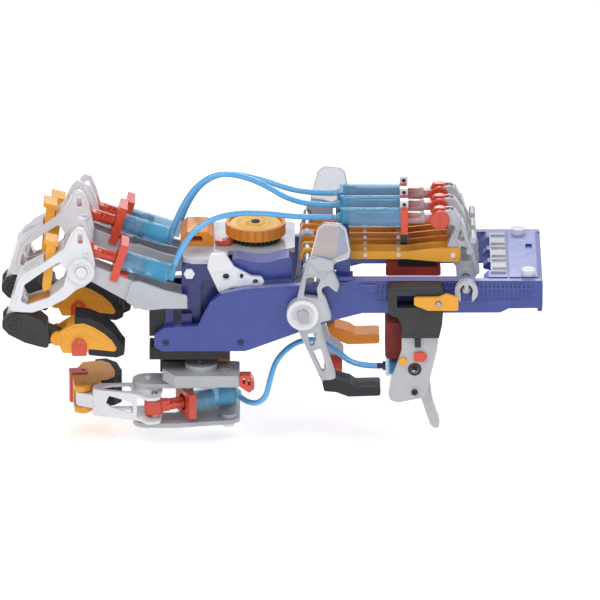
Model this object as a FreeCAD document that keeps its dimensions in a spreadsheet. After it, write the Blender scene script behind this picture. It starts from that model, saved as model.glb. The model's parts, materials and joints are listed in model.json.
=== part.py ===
import FreeCAD, Part
import math, os

# Wearable hydraulic hand: three fingers and a thumb on a gauntlet frame,
# driven by water syringes.  Lengths in millimetres, +X toward the elbow,
# +Y toward the far side of the arm, +Z up.  Outlines are drawn in a drafting
# frame; DATUM moves the middle of the wrist pad's underside to the origin.

V = FreeCAD.Vector
Turn = FreeCAD.Rotation
Place = FreeCAD.Placement
DATUM = V(-88.0, 0.0, -28.0)

doc = FreeCAD.newDocument("hydraulic_hand")
sheet = doc.addObject("Spreadsheet::Sheet", "dimensions")
SIZES = [
    ("finger_width", 24.0), ("finger_inside", 19.0), ("finger_boss_width", 30.0),
    ("finger_boss_radius", 10.7), ("axle_radius", 2.5), ("axle_hole_radius", 2.8),
    ("pin_radius", 2.0), ("pin_hole_radius", 2.3), ("tongue_width", 11.0),
    ("clevis_gap", 12.6), ("segment_width", 22.0), ("clip_width", 24.4),
    ("lock_width", 18.0), ("cap_width", 17.0), ("strip_width", 18.0),
    ("head_radius", 7.3), ("head_width", 11.0), ("barrel_radius", 8.0),
    ("bore_radius", 6.7), ("seal_radius", 6.4), ("slave_barrel_length", 37.0),
    ("master_barrel_length", 47.0), ("thumb_barrel_length", 20.0),
    ("nozzle_radius", 2.3), ("eye_width", 5.2), ("eye_gap", 6.0),
    ("rocker_width", 10.0), ("disc_radius", 7.5), ("disc_width", 14.0),
    ("cross_axle_radius", 3.0), ("cross_hole_radius", 3.3), ("link_plate", 2.0),
    ("lever_width", 7.0), ("mid_lever_width", 10.0), ("arm_thickness", 6.0),
    ("cradle_plate", 2.5), ("dial_radius", 23.4), ("dial_height", 9.2),
    ("gear_height", 4.6), ("clamp_thickness", 14.2), ("plate_thickness", 4.0),
    ("latch_thickness", 2.8), ("stirrup_width", 20.0), ("rod_pitch_circle", 16.0),
    ("window_width", 60.0), ("hose_radius", 2.25), ("hose_bore_radius", 1.4),
]
VALUE = {}
for row, (alias, number) in enumerate(SIZES, 1):
    sheet.set("A%d" % row, alias)
    sheet.set("B%d" % row, repr(number))
    sheet.setAlias("B%d" % row, alias)
    VALUE[alias] = number
doc.recompute()

PARTS = []


def bind(obj, prop, size):
    """A size is a sheet alias, an expression on aliases, or a plain number."""
    if isinstance(size, str):
        words = size.split()
        obj.setExpression(prop, " ".join("dimensions." + w if w in VALUE else w for w in words))
    else:
        setattr(obj, prop, size)


def number(size):
    if isinstance(size, str):
        total = None
        for word in size.split():
            if word in VALUE:
                total = VALUE[word] if total is None else total * VALUE[word]
        return total
    return size


def at(x=0.0, y=0.0, z=0.0, turn=None):
    return Place(V(x, y, z), turn or Turn())


def rounded(points, radius):
    """Straight edges and tangent corner arcs of a closed outline."""
    n = len(points)
    pts = [V(p[0], p[1], 0) for p in points]
    corners = []
    for i in range(n):
        a, b, c = pts[i - 1], pts[i], pts[(i + 1) % n]
        u, w = a - b, c - b
        lu, lw = u.Length, w.Length
        u.normalize()
        w.normalize()
        turn = math.pi - u.getAngle(w)
        r = radius
        if turn < 0.02 or r <= 0:
            corners.append((b, b, None))
            continue
        t = r * math.tan(turn / 2)
        limit = 0.45 * min(lu, lw)
        if t > limit:
            t = limit
            r = t / math.tan(turn / 2)
        p, q = b + u * t, b + w * t
        mid = (u + w)
        mid.normalize()
        centre = b + mid * (r / math.cos(turn / 2))
        peak = centre - mid * r
        corners.append((p, q, peak))
    edges = []
    for i in range(n):
        p, q, peak = corners[i]
        if peak is not None:
            edges.append(Part.Arc(p, peak, q))
        nxt = corners[(i + 1) % n][0]
        if (nxt - q).Length > 1e-6:
            edges.append(Part.LineSegment(q, nxt))
    return edges


class Profile:
    """A body made of side outlines (x right, z up) given width across y."""

    def __init__(self, name):
        self.name = name
        self.count = 0
        self.body = doc.addObject("PartDesign::Body", name)

    def sketch(self, plane="XZ_Plane"):
        self.count += 1
        sk = self.body.newObject("Sketcher::SketchObject", "%s_sketch_%d" % (self.name, self.count))
        side = [f for f in self.body.Origin.OriginFeatures if f.Role == plane][0]
        sk.AttachmentSupport = [(side, "")]
        sk.MapMode = "FlatFace"
        return sk

    def feature(self, kind, sk, width):
        feat = self.body.newObject("PartDesign::" + kind, "%s_%s_%d" % (self.name, kind.lower(), self.count))
        before = 0.0
        if kind == "Pocket":
            before = self.body.Shape.Volume
        feat.Profile = sk
        feat.SideType = "Symmetric"
        bind(feat, "Length", width)
        self.body.Tip = feat
        doc.recompute()
        if feat.Shape.isNull() or not feat.Shape.isValid():
            raise RuntimeError("bad feature " + feat.Name)
        if kind == "Pocket" and feat.Shape.Volume > before - 1e-4:
            raise RuntimeError("pocket removes nothing: " + feat.Name)
        return self

    def shape(self, kind, points, width, radius, plane="XZ_Plane"):
        sk = self.sketch(plane)
        for edge in rounded(points, radius):
            sk.addGeometry(edge, False)
        doc.recompute()
        return self.feature(kind, sk, width)

    def round_shape(self, kind, centre, radius, width, plane="XZ_Plane"):
        sk = self.sketch(plane)
        circle = Part.Circle(V(centre[0], centre[1], 0), V(0, 0, 1), number(radius))
        k = sk.addGeometry(circle, False)
        import Sketcher
        c = sk.addConstraint(Sketcher.Constraint("Radius", k, number(radius)))
        if isinstance(radius, str):
            bind(sk, "Constraints[%d]" % c, radius)
        doc.recompute()
        return self.feature(kind, sk, width)

    def pad(self, points, width, radius=1.0, plane="XZ_Plane"):
        return self.shape("Pad", points, width, radius, plane)

    def pocket(self, points, width, radius=1.0, plane="XZ_Plane"):
        return self.shape("Pocket", points, width, radius, plane)

    def boss(self, centre, radius, width, plane="XZ_Plane"):
        return self.round_shape("Pad", centre, radius, width, plane)

    def hole(self, centre, radius, width="window_width", plane="XZ_Plane"):
        return self.round_shape("Pocket", centre, radius, width, plane)


def box(name, x, y, z):
    b = doc.addObject("Part::Box", name)
    b.Length, b.Width, b.Height = x[1] - x[0], y[1] - y[0], z[1] - z[0]
    b.Placement = at(x[0], y[0], z[0])
    return b


AXIS = {"x": Turn(V(0, 0, 1), V(1, 0, 0)), "y": Turn(V(0, 0, 1), V(0, 1, 0)), "z": Turn()}


def rod(name, radius, start, end, centre, axis="y"):
    """Cylinder along an axis from start to end; centre = the other two coordinates."""
    c = doc.addObject("Part::Cylinder", name)
    bind(c, "Radius", radius)
    c.Height = end - start
    if axis == "x":
        c.Placement = Place(V(start, centre[0], centre[1]), AXIS["x"])
    elif axis == "y":
        c.Placement = Place(V(centre[0], start, centre[1]), AXIS["y"])
    else:
        c.Placement = Place(V(centre[0], centre[1], start), AXIS["z"])
    return c


def fuse(name, pieces):
    f = doc.addObject("Part::MultiFuse", name)
    f.Shapes = [p.body if isinstance(p, Profile) else p for p in pieces]
    doc.recompute()
    return f


def cut(name, base, tool):
    f = doc.addObject("Part::Cut", name)
    f.Base = base.body if isinstance(base, Profile) else base
    f.Tool = tool.body if isinstance(tool, Profile) else tool
    doc.recompute()
    if f.Shape.Volume > f.Base.Shape.Volume - 1e-4:
        raise RuntimeError("cut removes nothing: " + name)
    return f


def group(name, pieces):
    g = doc.addObject("Part::Compound", name)
    g.Links = [p.body if isinstance(p, Profile) else p for p in pieces]
    doc.recompute()
    return g


def moved(obj, place):
    o = obj.body if isinstance(obj, Profile) else obj
    o.Placement = place.multiply(o.Placement)
    return o


def publish(node, obj, place=None):
    """Name a finished piece and set it in the common frame."""
    o = obj.body if isinstance(obj, Profile) else obj
    o.Label = node
    base = place or Place()
    o.Placement = Place(DATUM, Turn()).multiply(base).multiply(o.Placement)
    PARTS.append((node, o))
    return o


# ------------------------------------------------------------------ fingers
SLOPE = Turn(V(0, 1, 0), 18.0)          # slave syringes point down toward the palm
FINGERS = {1: (-169.3, -45.0, 46.3), 2: (-170.8, 0.0, 60.0), 3: (-165.8, 45.0, 48.5)}
CRANK = (3.9, 13.6)                      # rod pin from the knuckle pivot
FLANGE = (32.2, 4.4)                     # face of the syringe clamp, same frame
PIP, DIP = (-53.0, -45.1), (-19.1, -57.6)

PROXIMAL = [(10.1, 0.0), (10.9, 5.0), (9.0, 14.5), (6.6, 24.0), (2.6, 34.3), (-2.9, 35.9), (-7.8, 30.1),
            (-13.3, 17.5), (-30.4, 5.0), (-42.9, -1.7), (-49.1, -9.2), (-53.8, -25.9), (-56.2, -34.0),
            (-38.2, -34.9), (-24.2, -30.1), (-12.5, -23.8), (-3.9, -15.9), (2.3, -13.4), (8.6, -8.4)]
HOLLOW = [(22.6, 48.5), (-9.4, 48.5), (-10.1, 15.0), (-28.9, 2.1), (-40.6, -4.2), (-46.0, -10.9),
          (-50.7, -25.9), (-52.3, -29.2), (-56.9, -41.8), (-56.9, -56.0), (22.6, -56.0)]
WINDOW = [(-16.4, 7.6), (-10.9, -2.0), (-13.9, -13.4), (-25.7, -23.0), (-41.3, -28.6), (-47.0, -26.0),
          (-44.2, -12.0), (-30.4, -1.9)]
EAR_SLOT = [(-2.6, 21.5), (1.6, 21.5), (1.0, 30.5), (-2.4, 30.5)]
TONGUE = [(-53.6, -24.2), (-48.4, -11.9), (-41.4, -26.7), (-46.6, -45.1), (-49.0, -50.2), (-53.0, -51.6),
          (-57.0, -50.2), (-59.5, -45.1)]
LOCK = [(-26.3, 20.0), (-19.2, 18.0), (-20.3, 13.0), (-21.6, 2.0), (-23.6, -15.5), (-29.6, -19.5), (-30.4, -14.0)]
LOCK_CAP = [(-28.2, 24.4), (-17.4, 21.6), (-18.2, 18.0), (-28.8, 20.6)]
STRIP = [(-25.0, -24.6), (-41.0, -30.4), (-40.4, -32.6), (-24.4, -27.4)]
MIDDLE = [(-61.6, -42.6), (-57.7, -38.0), (-50.7, -36.4), (-42.1, -37.4), (-32.8, -41.0), (-26.5, -46.8),
          (-25.3, -55.1), (-25.8, -65.2), (-33.5, -63.5), (-44.5, -60.2), (-56.9, -53.5), (-61.6, -48.0)]
MIDDLE_GAP = [(-67.0, -26.7), (-42.4, -26.7), (-42.4, -68.0), (-67.0, -68.0)]
MIDDLE_TONGUE = [(-31.0, -47.6), (-19.1, -52.6), (-14.6, -55.0), (-14.1, -59.5), (-19.1, -62.6), (-31.0, -64.0)]
TIP = [(-17.9, -52.6), (-13.3, -49.2), (-6.2, -45.1), (1.6, -44.3), (9.4, -47.6), (17.2, -52.6),
       (23.4, -58.5), (27.3, -65.2), (25.7, -67.7), (13.3, -66.4), (5.5, -65.6), (3.9, -68.9),
       (-14.9, -68.9), (-17.6, -62.2)]
TIP_GAP = [(-33.5, -39.3), (-12.2, -39.3), (-12.2, -74.0), (-33.5, -74.0)]
PAD = [(-5.5, -38.9), (5.5, -40.1), (16.4, -45.1), (25.0, -52.6), (30.4, -61.0), (33.5, -65.2),
       (32.8, -70.2), (27.3, -72.7), (11.7, -71.4), (4.9, -70.6), (4.9, -62.0), (-5.5, -56.0)]
CLIP = [(-7.8, -71.0), (-7.8, -61.0), (-4.7, -56.8), (0.8, -56.8), (3.9, -61.0), (3.9, -71.0)]
CRADLE_ARM = [(-6.0, 0.0), (-4.2, 4.2), (0.0, 6.0), (10.1, 2.5), (34.9, -7.9), (41.3, -10.9), (41.3, -29.2),
              (32.8, -25.1), (7.0, -9.8), (0.0, -6.0), (-4.2, -4.2)]
CRADLE_SIDE = [(34.0, -25.6), (39.0, -10.2), (44.5, -9.6), (66.0, -17.6), (82.0, -21.5), (82.0, -29.5),
               (71.8, -31.2), (49.9, -33.6), (39.8, -30.2)]


def syringe_place(pivot, base=None):
    return at(pivot[0] + FLANGE[0], pivot[1], pivot[2] + FLANGE[1], SLOPE)


def plunger(name, length, collar_at, width, head=True):
    """Ridged plunger along +X from its head at x=0, with collar and seal."""
    bars = [box(name + "_web", (4.5, collar_at), (-1.5, 1.5), (-4.2, 4.2)),
            box(name + "_flat", (4.5, collar_at), (-4.2, 4.2), (-1.5, 1.5))]
    for k in range(2):
        x = 14.0 + k * (collar_at - 18.0) / 1.0
        bars.append(rod("%s_rib_%d" % (name, k), 4.6, x, x + 1.4, (0, 0), "x"))
    bars.append(rod(name + "_collar", 6.0, collar_at, collar_at + 4.0, (0, 0), "x"))
    return bars


def seal(name, x):
    core = doc.addObject("Part::Cylinder", name)
    bind(core, "Radius", "seal_radius")
    core.Height = 5.0
    core.Placement = Place(V(x, 0, 0), AXIS["x"])
    ring = doc.addObject("Part::Torus", name + "_groove")
    ring.Radius1, ring.Radius2 = 6.9, 1.0
    ring.Placement = Place(V(x + 2.5, 0, 0), AXIS["x"])
    return cut(name + "_lip", core, ring)


def slave_rod(name):
    """Head disc with the pin slot, drawn with the pin at the rest position."""
    reach = math.hypot(FLANGE[0] - CRANK[0], FLANGE[1] - CRANK[1])
    head = Profile(name + "_head")
    head.boss((0.0, -2.0), "head_radius", "head_width")
    head.pad([(3.0, -3.0), (12.0, -3.6), (12.0, 3.6), (3.0, 3.0)], 8.4, 0.8)
    head.pocket([(-2.7, -6.6), (2.7, -6.6), (2.7, 2.7), (-2.7, 2.7)], 30.0, 2.6)
    bars = plunger(name, reach, reach + 10.0, 8.4)
    # the cross-shaped shank starts beyond the head
    for b in bars[:2]:
        b.Placement = at(8.0, b.Placement.Base.y, b.Placement.Base.z)
        b.Length = reach + 10.0 - 8.0
    for k, b in enumerate(bars[2:4]):
        b.Placement = Place(V(14.0 + 8.0 * k, 0, 0), AXIS["x"])
    body = fuse(name + "_plunger", [head] + bars)
    return group(name, [body, seal(name + "_seal", reach + 14.0)]), reach


for i, pivot in FINGERS.items():
    here = at(*pivot)
    tag = "finger_%d_" % i

    proximal = Profile(tag + "proximal")
    proximal.pad(PROXIMAL, "finger_width", 3.0)
    proximal.boss((0, 0), "finger_boss_radius", "finger_boss_width")
    proximal.pocket(HOLLOW, "finger_inside", 2.0)
    proximal.pocket(WINDOW, 40.0, 2.5)
    proximal.pocket(EAR_SLOT, 40.0, 1.4)
    # three lightening slots across the top skin
    proximal.pad(TONGUE, "tongue_width", 2.0)
    proximal.pocket([(-28.2, 14.0), (-19.2, 14.0), (-20.6, -4.0), (-30.2, -4.0)], "lock_width", 0.4)
    proximal.pocket([(-45.6, 2.0), (-35.2, 4.5), (-34.5, -4.0), (-44.2, -9.4)], 6.0, 0.6)
    proximal.hole((0, 0), "axle_hole_radius")
    proximal.hole(PIP, "pin_hole_radius")
    proximal.boss(CRANK, "pin_radius", "finger_width")
    publish(tag + "proximal", proximal, here)

    lock = Profile(tag + "lock_bar")
    lock.pad(LOCK, 17.6, 1.2)
    cap = Profile(tag + "lock_cap")
    cap.pad(LOCK_CAP, "cap_width", 0.8)
    whole = fuse(tag + "lock_body", [lock, cap])
    strip = Profile(tag + "lock_strip")
    strip.pad(STRIP, "strip_width", 0.5)
    publish(tag + "lock", group(tag + "lock", [whole, strip]), here)

    middle = Profile(tag + "middle")
    middle.pad(MIDDLE, "segment_width", 2.5)
    middle.boss(PIP, 6.2, "finger_width")
    middle.pocket(MIDDLE_GAP, "clevis_gap", 1.0)
    middle.pad(MIDDLE_TONGUE, "tongue_width", 2.0)
    middle.boss(PIP, "pin_radius", "finger_width")
    middle.hole(DIP, "pin_hole_radius")
    publish(tag + "middle", middle, here)

    tip = Profile(tag + "tip_shell")
    tip.pad(TIP, "segment_width", 2.0)
    tip.boss(DIP, 5.2, "segment_width")
    tip.pocket(TIP_GAP, "clevis_gap", 0.8)
    tip.boss(DIP, "pin_radius", "segment_width")
    clip_out = Profile(tag + "clip_outer")
    clip_out.pad(CLIP, "clip_width", 1.5)
    clip_out.hole((-1.9, -60.6), 1.7)
    clip = cut(tag + "clip", clip_out, box(tag + "clip_gap", (-30, 30), (-11.0, 11.0), (-68.9, -40.0)))
    publish(tag + "tip", group(tag + "tip", [tip, clip]), here)

    pad_outer = Profile(tag + "pad_outer")
    pad_outer.pad(PAD, "segment_width", 2.0)
    pad_core = Profile(tag + "pad_core")
    pad_core.pad(TIP, 26.0, 2.0)
    publish(tag + "pad", cut(tag + "pad", pad_outer, pad_core), here)

    drive, reach = slave_rod(tag + "rod")
    publish(tag + "rod", drive, at(pivot[0] + CRANK[0], pivot[1], pivot[2] + CRANK[1], SLOPE))

# ----------------------------------------------------------- fixed syringes
MASTER_Z = 79.0
ROWS = {1: -27.0, 2: 0.0, 3: 27.0}
THUMB = (-118.6, -28.0, -73.0)
THUMB_PLACE = Place(V(*THUMB), Turn(V(0, 0, 1), 6.0).multiply(Turn(V(1, 0, 0), 90.0)))
THUMB_MASTER = (99.0, -48.0, -36.3)     # thumb master rod pin


def barrel(name, length, elbow):
    """Clear barrel along +X from its clamp face at x=0, closed end, outlet."""
    outer = doc.addObject("Part::Cylinder", name + "_outer")
    bind(outer, "Radius", "barrel_radius")
    bind(outer, "Height", length)
    outer.Placement = Place(V(0, 0, 0), AXIS["x"])
    far = number(length)
    inner = doc.addObject("Part::Cylinder", name + "_bore")
    bind(inner, "Radius", "bore_radius")
    inner.Height = far - 2.0 + 5.0
    inner.Placement = Place(V(-5.0, 0, 0), AXIS["x"])
    tube = cut(name + "_tube", outer, inner)
    if elbow:
        pieces = [tube, box(name + "_elbow", (far, far + 5.0), (-3.2, 3.2), (-4.0, 4.6)),
                  rod(name + "_spout", "nozzle_radius", 4.6, 9.0, (far + 2.5, 0.0), "z")]
    else:
        pieces = [tube, rod(name + "_neck", 3.6, far, far + 2.2, (0, 0), "x"),
                  rod(name + "_spout", "nozzle_radius", far + 2.2, far + 6.5, (0, 0), "x")]
    return fuse(name, pieces)


def clamp_block(name, tall, deep, thick=6.0):
    """Flange block holding the open end of a barrel, just before x=0."""
    b = box(name + "_block", (-thick, 0.0), (-deep / 2, deep / 2), (-tall / 2, tall / 2))
    step = box(name + "_step", (-thick + 1.2, 7.0), (-deep / 2 + 2, deep / 2 - 2), (-tall / 2 - 0.1, -8.6))
    solid = fuse(name + "_solid", [b, step])
    hole = rod(name + "_hole", "bore_radius", -thick - 1, 8.0, (0, 0), "x")
    return cut(name, solid, hole)


barrels, clamps = [], []
for i, pivot in FINGERS.items():
    s = syringe_place(pivot)
    barrels.append(moved(barrel("slave_barrel_%d" % i, "slave_barrel_length", True), s))
    clamps.append(moved(clamp_block("slave_clamp_%d" % i, 31.0, 22.0), s))
for i, y in ROWS.items():
    s = Place(V(78.0, y, MASTER_Z), Turn(V(0, 0, 1), 180.0))
    barrels.append(moved(barrel("master_barrel_%d" % i, "master_barrel_length", False), s))
    blk = box("master_flange_%d" % i, (78.0, 83.5), (y - 9.5, y + 9.5), (MASTER_Z - 11.0, MASTER_Z + 9.5))
    hole = rod("master_flange_hole_%d" % i, "bore_radius", 70.0, 90.0, (y, MASTER_Z), "x")
    clamps.append(cut("master_clamp_%d" % i, blk, hole))
thumb_slave = THUMB_PLACE.multiply(at(FLANGE[0], 0.0, FLANGE[1], SLOPE))
barrels.append(moved(barrel("thumb_slave_barrel", "slave_barrel_length", True), thumb_slave))
clamps.append(moved(clamp_block("thumb_slave_clamp", 27.0, 20.0), thumb_slave))
publish("syringe_barrels", group("syringe_barrels", barrels))
publish("syringe_clamps", group("syringe_clamps", clamps))

# --------------------------------------------------------------- the cradles
cradle_bits = []
for i, pivot in FINGERS.items():
    bits = []
    for k, y in enumerate((-7.9, 7.9)):
        arm = Profile("cradle_%d_arm_%d" % (i, k))
        arm.pad(CRADLE_ARM, "cradle_plate", 1.5)
        arm.hole((0, 0), "axle_radius")
        arm.body.Placement = at(0, y, 0)
        bits.append(arm)
        side = Profile("cradle_%d_side_%d" % (i, k))
        side.pad(CRADLE_SIDE, "cradle_plate", 2.0)
        side.body.Placement = at(0, y + (1.0 if y > 0 else -1.0) * 1.9, 0)
        bits.append(side)
    bits.append(box("cradle_%d_web" % i, (40.0, 82.0), (-11.0, 11.0), (-32.0, -28.5)))
    whole = fuse("cradle_%d" % i, bits)
    cradle_bits.append(moved(whole, at(*pivot)))

# ------------------------------------------------------------------- thumb
T_PIVOT = (-50.0, -11.0)
T_PROXIMAL = [(10.7, 0.0), (10.9, 5.0), (9.0, 14.5), (7.6, 22.0), (3.0, 24.5), (-3.0, 24.0), (-8.0, 16.0),
              (-20.0, 9.5), (-36.0, 3.5), (-43.5, -0.6), (-42.0, -8.5), (-37.0, -12.2), (-26.0, -11.5),
              (-12.0, -11.0), (0.0, -11.4), (8.0, -8.0)]
T_HOLLOW = [(22.6, 48.5), (-9.4, 48.5), (-10.1, 13.0), (-21.0, 6.5), (-38.0, -1.0), (-36.0, -20.0), (22.0, -20.0)]
T_TONGUE = [(-40.0, 0.5), (-50.0, -5.5), (-54.6, -8.0), (-55.6, -13.0), (-50.0, -17.0), (-40.0, -15.0), (-35.0, -12.0),
            (-35.0, 0.0)]
T_TIP = [(-56.5, -8.0), (-50.0, -5.6), (-44.4, -8.0), (-40.0, -16.6), (-30.0, -19.0), (-24.0, -25.0), (-22.5, -38.0),
         (-25.0, -54.0), (-31.0, -61.0), (-46.0, -59.0), (-52.0, -45.0), (-56.5, -30.0)]
T_TIP_GAP = [(-62.0, -1.0), (-34.0, -1.0), (-34.0, -20.5), (-62.0, -20.5)]
T_PAD = [(-36.0, -17.0), (-25.0, -19.5), (-18.5, -26.0), (-17.0, -38.0), (-19.5, -56.0), (-27.0, -65.0), (-36.0, -64.0),
         (-36.0, -50.0)]

t_prox = Profile("thumb_proximal")
t_prox.pad(T_PROXIMAL, "segment_width", 3.0)
t_prox.boss((0, 0), "finger_boss_radius", 28.0)
t_prox.pocket(T_HOLLOW, 17.4, 2.0)
t_prox.pocket([(-33.5, 0.5), (-31.0, 7.0), (-15.0, 3.6), (-12.8, 0.0), (-13.2, -5.4), (-20.0, -4.8), (-29.0, -2.6)], 90.0, 1.5, "XY_Plane")
t_prox.pocket([(-13.0, 6.5), (-13.0, -8.6), (-26.0, -8.6), (-34.5, -6.0), (-35.0, 0.0), (-22.0, 5.5)], 40.0, 2.0)
t_prox.pad(T_TONGUE, "tongue_width", 1.5)
t_prox.hole((0, 0), "axle_hole_radius")
t_prox.hole(T_PIVOT, "pin_hole_radius")
t_prox.boss(CRANK, "pin_radius", "segment_width")
publish("thumb_proximal", t_prox, THUMB_PLACE)

t_tip = Profile("thumb_tip_shell")
t_tip.pad(T_TIP, "segment_width", 2.5)
t_tip.pocket(T_TIP_GAP, "clevis_gap", 1.0)
t_tip.boss(T_PIVOT, "pin_radius", "segment_width")
t_clip_out = Profile("thumb_clip_outer")
t_clip_out.pad([(-58.4, -44.0), (-44.0, -44.0), (-44.0, -33.0), (-58.4, -33.0)], "clip_width", 1.5)
t_clip_out.hole((-47.4, -38.5), 1.7)
t_core = Profile("thumb_clip_core")
t_core.pad([(-56.5, -30.0), (-56.5, -20.0), (-20.0, -20.0), (-20.0, -50.0), (-50.0, -52.0), (-52.0, -45.0)], "segment_width", 0.0)
t_clip = cut("thumb_clip", t_clip_out, t_core)
publish("thumb_tip", group("thumb_tip", [t_tip, t_clip]), THUMB_PLACE)

t_pad = Profile("thumb_pad_outer")
t_pad.pad(T_PAD, "segment_width", 2.0)
t_pad_core = Profile("thumb_pad_core")
t_pad_core.pad(T_TIP, 26.0, 2.5)
publish("thumb_pad", cut("thumb_pad", t_pad, t_pad_core), THUMB_PLACE)

t_drive, reach = slave_rod("thumb_rod")
publish("thumb_rod", t_drive, THUMB_PLACE.multiply(at(CRANK[0], 0.0, CRANK[1], SLOPE)))

# --------------------------------------------------------- masters and rockers
ROCKER_PIVOT = (128.7, 31.6)
ROCKER_PIN = (108.4, 79.0)
LINK_B = (118.6, 50.5)
LEVER_PIVOT = (2.3, 12.9)
LINK_A = (5.5, 50.5)
ROCKER = [(110.0, 73.5), (118.0, 75.0), (121.7, 71.7), (117.2, 64.0), (114.4, 57.0), (113.6, 48.5), (120.8, 40.5),
          (121.7, 30.0), (124.0, 25.6), (133.4, 25.6), (136.6, 31.6), (138.8, 36.6), (126.0, 76.0),
          (121.5, 84.5), (117.0, 86.7), (105.0, 85.4), (101.6, 79.0), (104.0, 73.5)]
ROCKER_WINDOWS = [[(122.0, 62.5), (128.2, 60.0), (125.0, 70.5), (123.8, 70.0)],
                  [(124.8, 44.5), (132.2, 44.5), (129.4, 55.5), (124.6, 57.5)]]
RIDGE = [(126.2, 77.5), (139.6, 36.0), (137.6, 34.0), (124.6, 75.0)]

for i, y in ROWS.items():
    name = "rocker_%d" % i
    r = Profile(name + "_arm")
    r.pad(ROCKER, "rocker_width", 2.5)
    for w in ROCKER_WINDOWS:
        r.pocket(w, 30.0, 1.2)
    r.pad(RIDGE, 15.0, 0.6)
    r.boss((134.3, 63.0), 2.6, 17.0)
    r.boss((131.6, 53.6), 2.6, 17.0)
    r.boss(ROCKER_PIVOT, 7.0, 12.0)
    r.boss(ROCKER_PIN, "disc_radius", "disc_width")
    r.pocket([(92.0, 66.0), (119.0, 66.0), (119.0, 94.0), (92.0, 94.0)], "eye_gap", 0.5)
    r.boss(ROCKER_PIN, "pin_radius", "disc_width")
    r.hole(LINK_B, 2.5)
    r.hole(ROCKER_PIVOT, "cross_hole_radius")
    publish(name, r, at(0, y, 0))

    m = Profile("master_%d_eye" % i)
    m.pad([(-6.0, -5.0), (6.0, -5.0), (6.0, 8.6), (-6.0, 8.6)], "eye_width", 3.5)
    m.pad([(-14.0, -3.2), (-4.0, -3.2), (-4.0, 3.2), (-14.0, 3.2)], "eye_width", 0.5)
    m.pocket([(-2.5, -2.7), (2.5, -2.7), (2.5, 6.1), (-2.5, 6.1)], 20.0, 2.4)
    name = "master_%d_rod" % i
    stem = [box(name + "_web", (-64.0, -12.0), (-1.5, 1.5), (-4.4, 4.4)),
            box(name + "_flat", (-64.0, -12.0), (-4.4, 4.4), (-1.5, 1.5)),
            rod(name + "_collar", 6.0, -69.6, -64.0, (0, 0), "x"),
            rod(name + "_rib_1", 5.0, -34.0, -32.6, (0, 0), "x"),
            rod(name + "_rib_2", 5.0, -15.0, -12.0, (0, 0), "x")]
    solid = fuse(name + "_plunger", [m] + stem)
    publish("master_%d_rod" % i, group(name, [solid, seal(name + "_seal", -74.6)]),
            at(ROCKER_PIN[0], y, ROCKER_PIN[1]))

    name = "link_%d" % i
    L = LINK_B[0] - LINK_A[0]
    bar = [(-6.0, -1.0), (-3.0, 5.4), (4.0, 5.6), (18.0, 3.2), (L - 34.0, 3.0), (L - 12.0, 5.6), (L + 5.0, 5.6),
           (L + 6.4, 0.0), (L + 4.0, -5.6), (L - 13.0, -5.2), (L - 34.0, -3.2), (18.0, -3.2), (4.0, -5.6), (-3.0, -5.0)]
    pieces = []
    for k, off in enumerate((-6.9, 6.9)):
        plate = Profile("%s_plate_%d" % (name, k))
        plate.pad(bar, "link_plate", 1.6)
        plate.hole((0, 0), "pin_hole_radius")
        plate.body.Placement = at(0, off, 0)
        pieces.append(plate)
    for k, x in enumerate((L - 42.0, L - 68.0, 24.0)):
        pieces.append(rod("%s_pin_%d" % (name, k), 1.6, -8.3, 8.3, (x, 0.0), "y"))
    pieces.append(rod(name + "_pin_end", "pin_radius", -8.3, 8.3, (L, 0.0), "y"))
    publish(name, fuse(name, pieces), at(LINK_A[0], y, LINK_A[1]))

# ------------------------------------------------------------- input levers
LEVER_TOP = [(4.0, 40.0), (8.6, 61.4), (14.0, 84.0), (18.7, 88.1), (31.2, 87.3), (35.9, 83.1), (39.0, 65.6),
             (38.2, 58.9), (28.1, 55.6), (20.0, 47.0)]
LEVER_OUT = [(-7.6, 10.0), (-7.8, 18.0), (-2.3, 25.0), (0.5, 38.0), (6.0, 58.0), (16.0, 60.0), (26.0, 57.0), (25.7, 48.9),
             (30.4, 38.2), (28.9, 31.3), (25.7, 33.6), (21.8, 37.2), (17.2, 35.5), (16.4, 31.3), (19.7, 27.1),
             (24.0, 13.5), (24.0, 9.0), (15.4, 6.4), (17.4, -4.0), (28.1, -39.7), (17.2, -43.0), (-1.4, -0.4)]
LEVER_WINDOWS = [[(2.8, 28.0), (14.6, 26.0), (13.0, 34.0), (16.0, 42.0), (12.0, 45.5), (4.8, 43.0)],
                 [(5.5, -3.0), (13.5, -2.0), (11.5, -12.0), (8.0, -14.0)],
                 [(9.5, -17.5), (16.0, -15.0), (20.5, -32.0), (17.4, -35.5)]]
MID_LEVER = [(-6.6, 12.9), (-5.0, 19.0), (-2.6, 30.0), (-1.4, 45.0), (0.0, 56.0), (5.5, 58.4), (11.0, 56.0), (12.0, 45.0),
             (11.4, 30.0), (11.2, 15.0), (14.0, 2.0), (23.0, -30.0), (34.0, -39.0), (34.0, -44.0), (18.0, -44.0), (-2.0, 2.0)]
STIRRUP = [(17.0, -42.1), (27.3, -40.5), (39.0, -44.0), (43.1, -47.1), (62.5, -46.6), (62.5, -54.2), (37.8, -55.1),
           (28.1, -51.3), (18.7, -50.5)]

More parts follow.
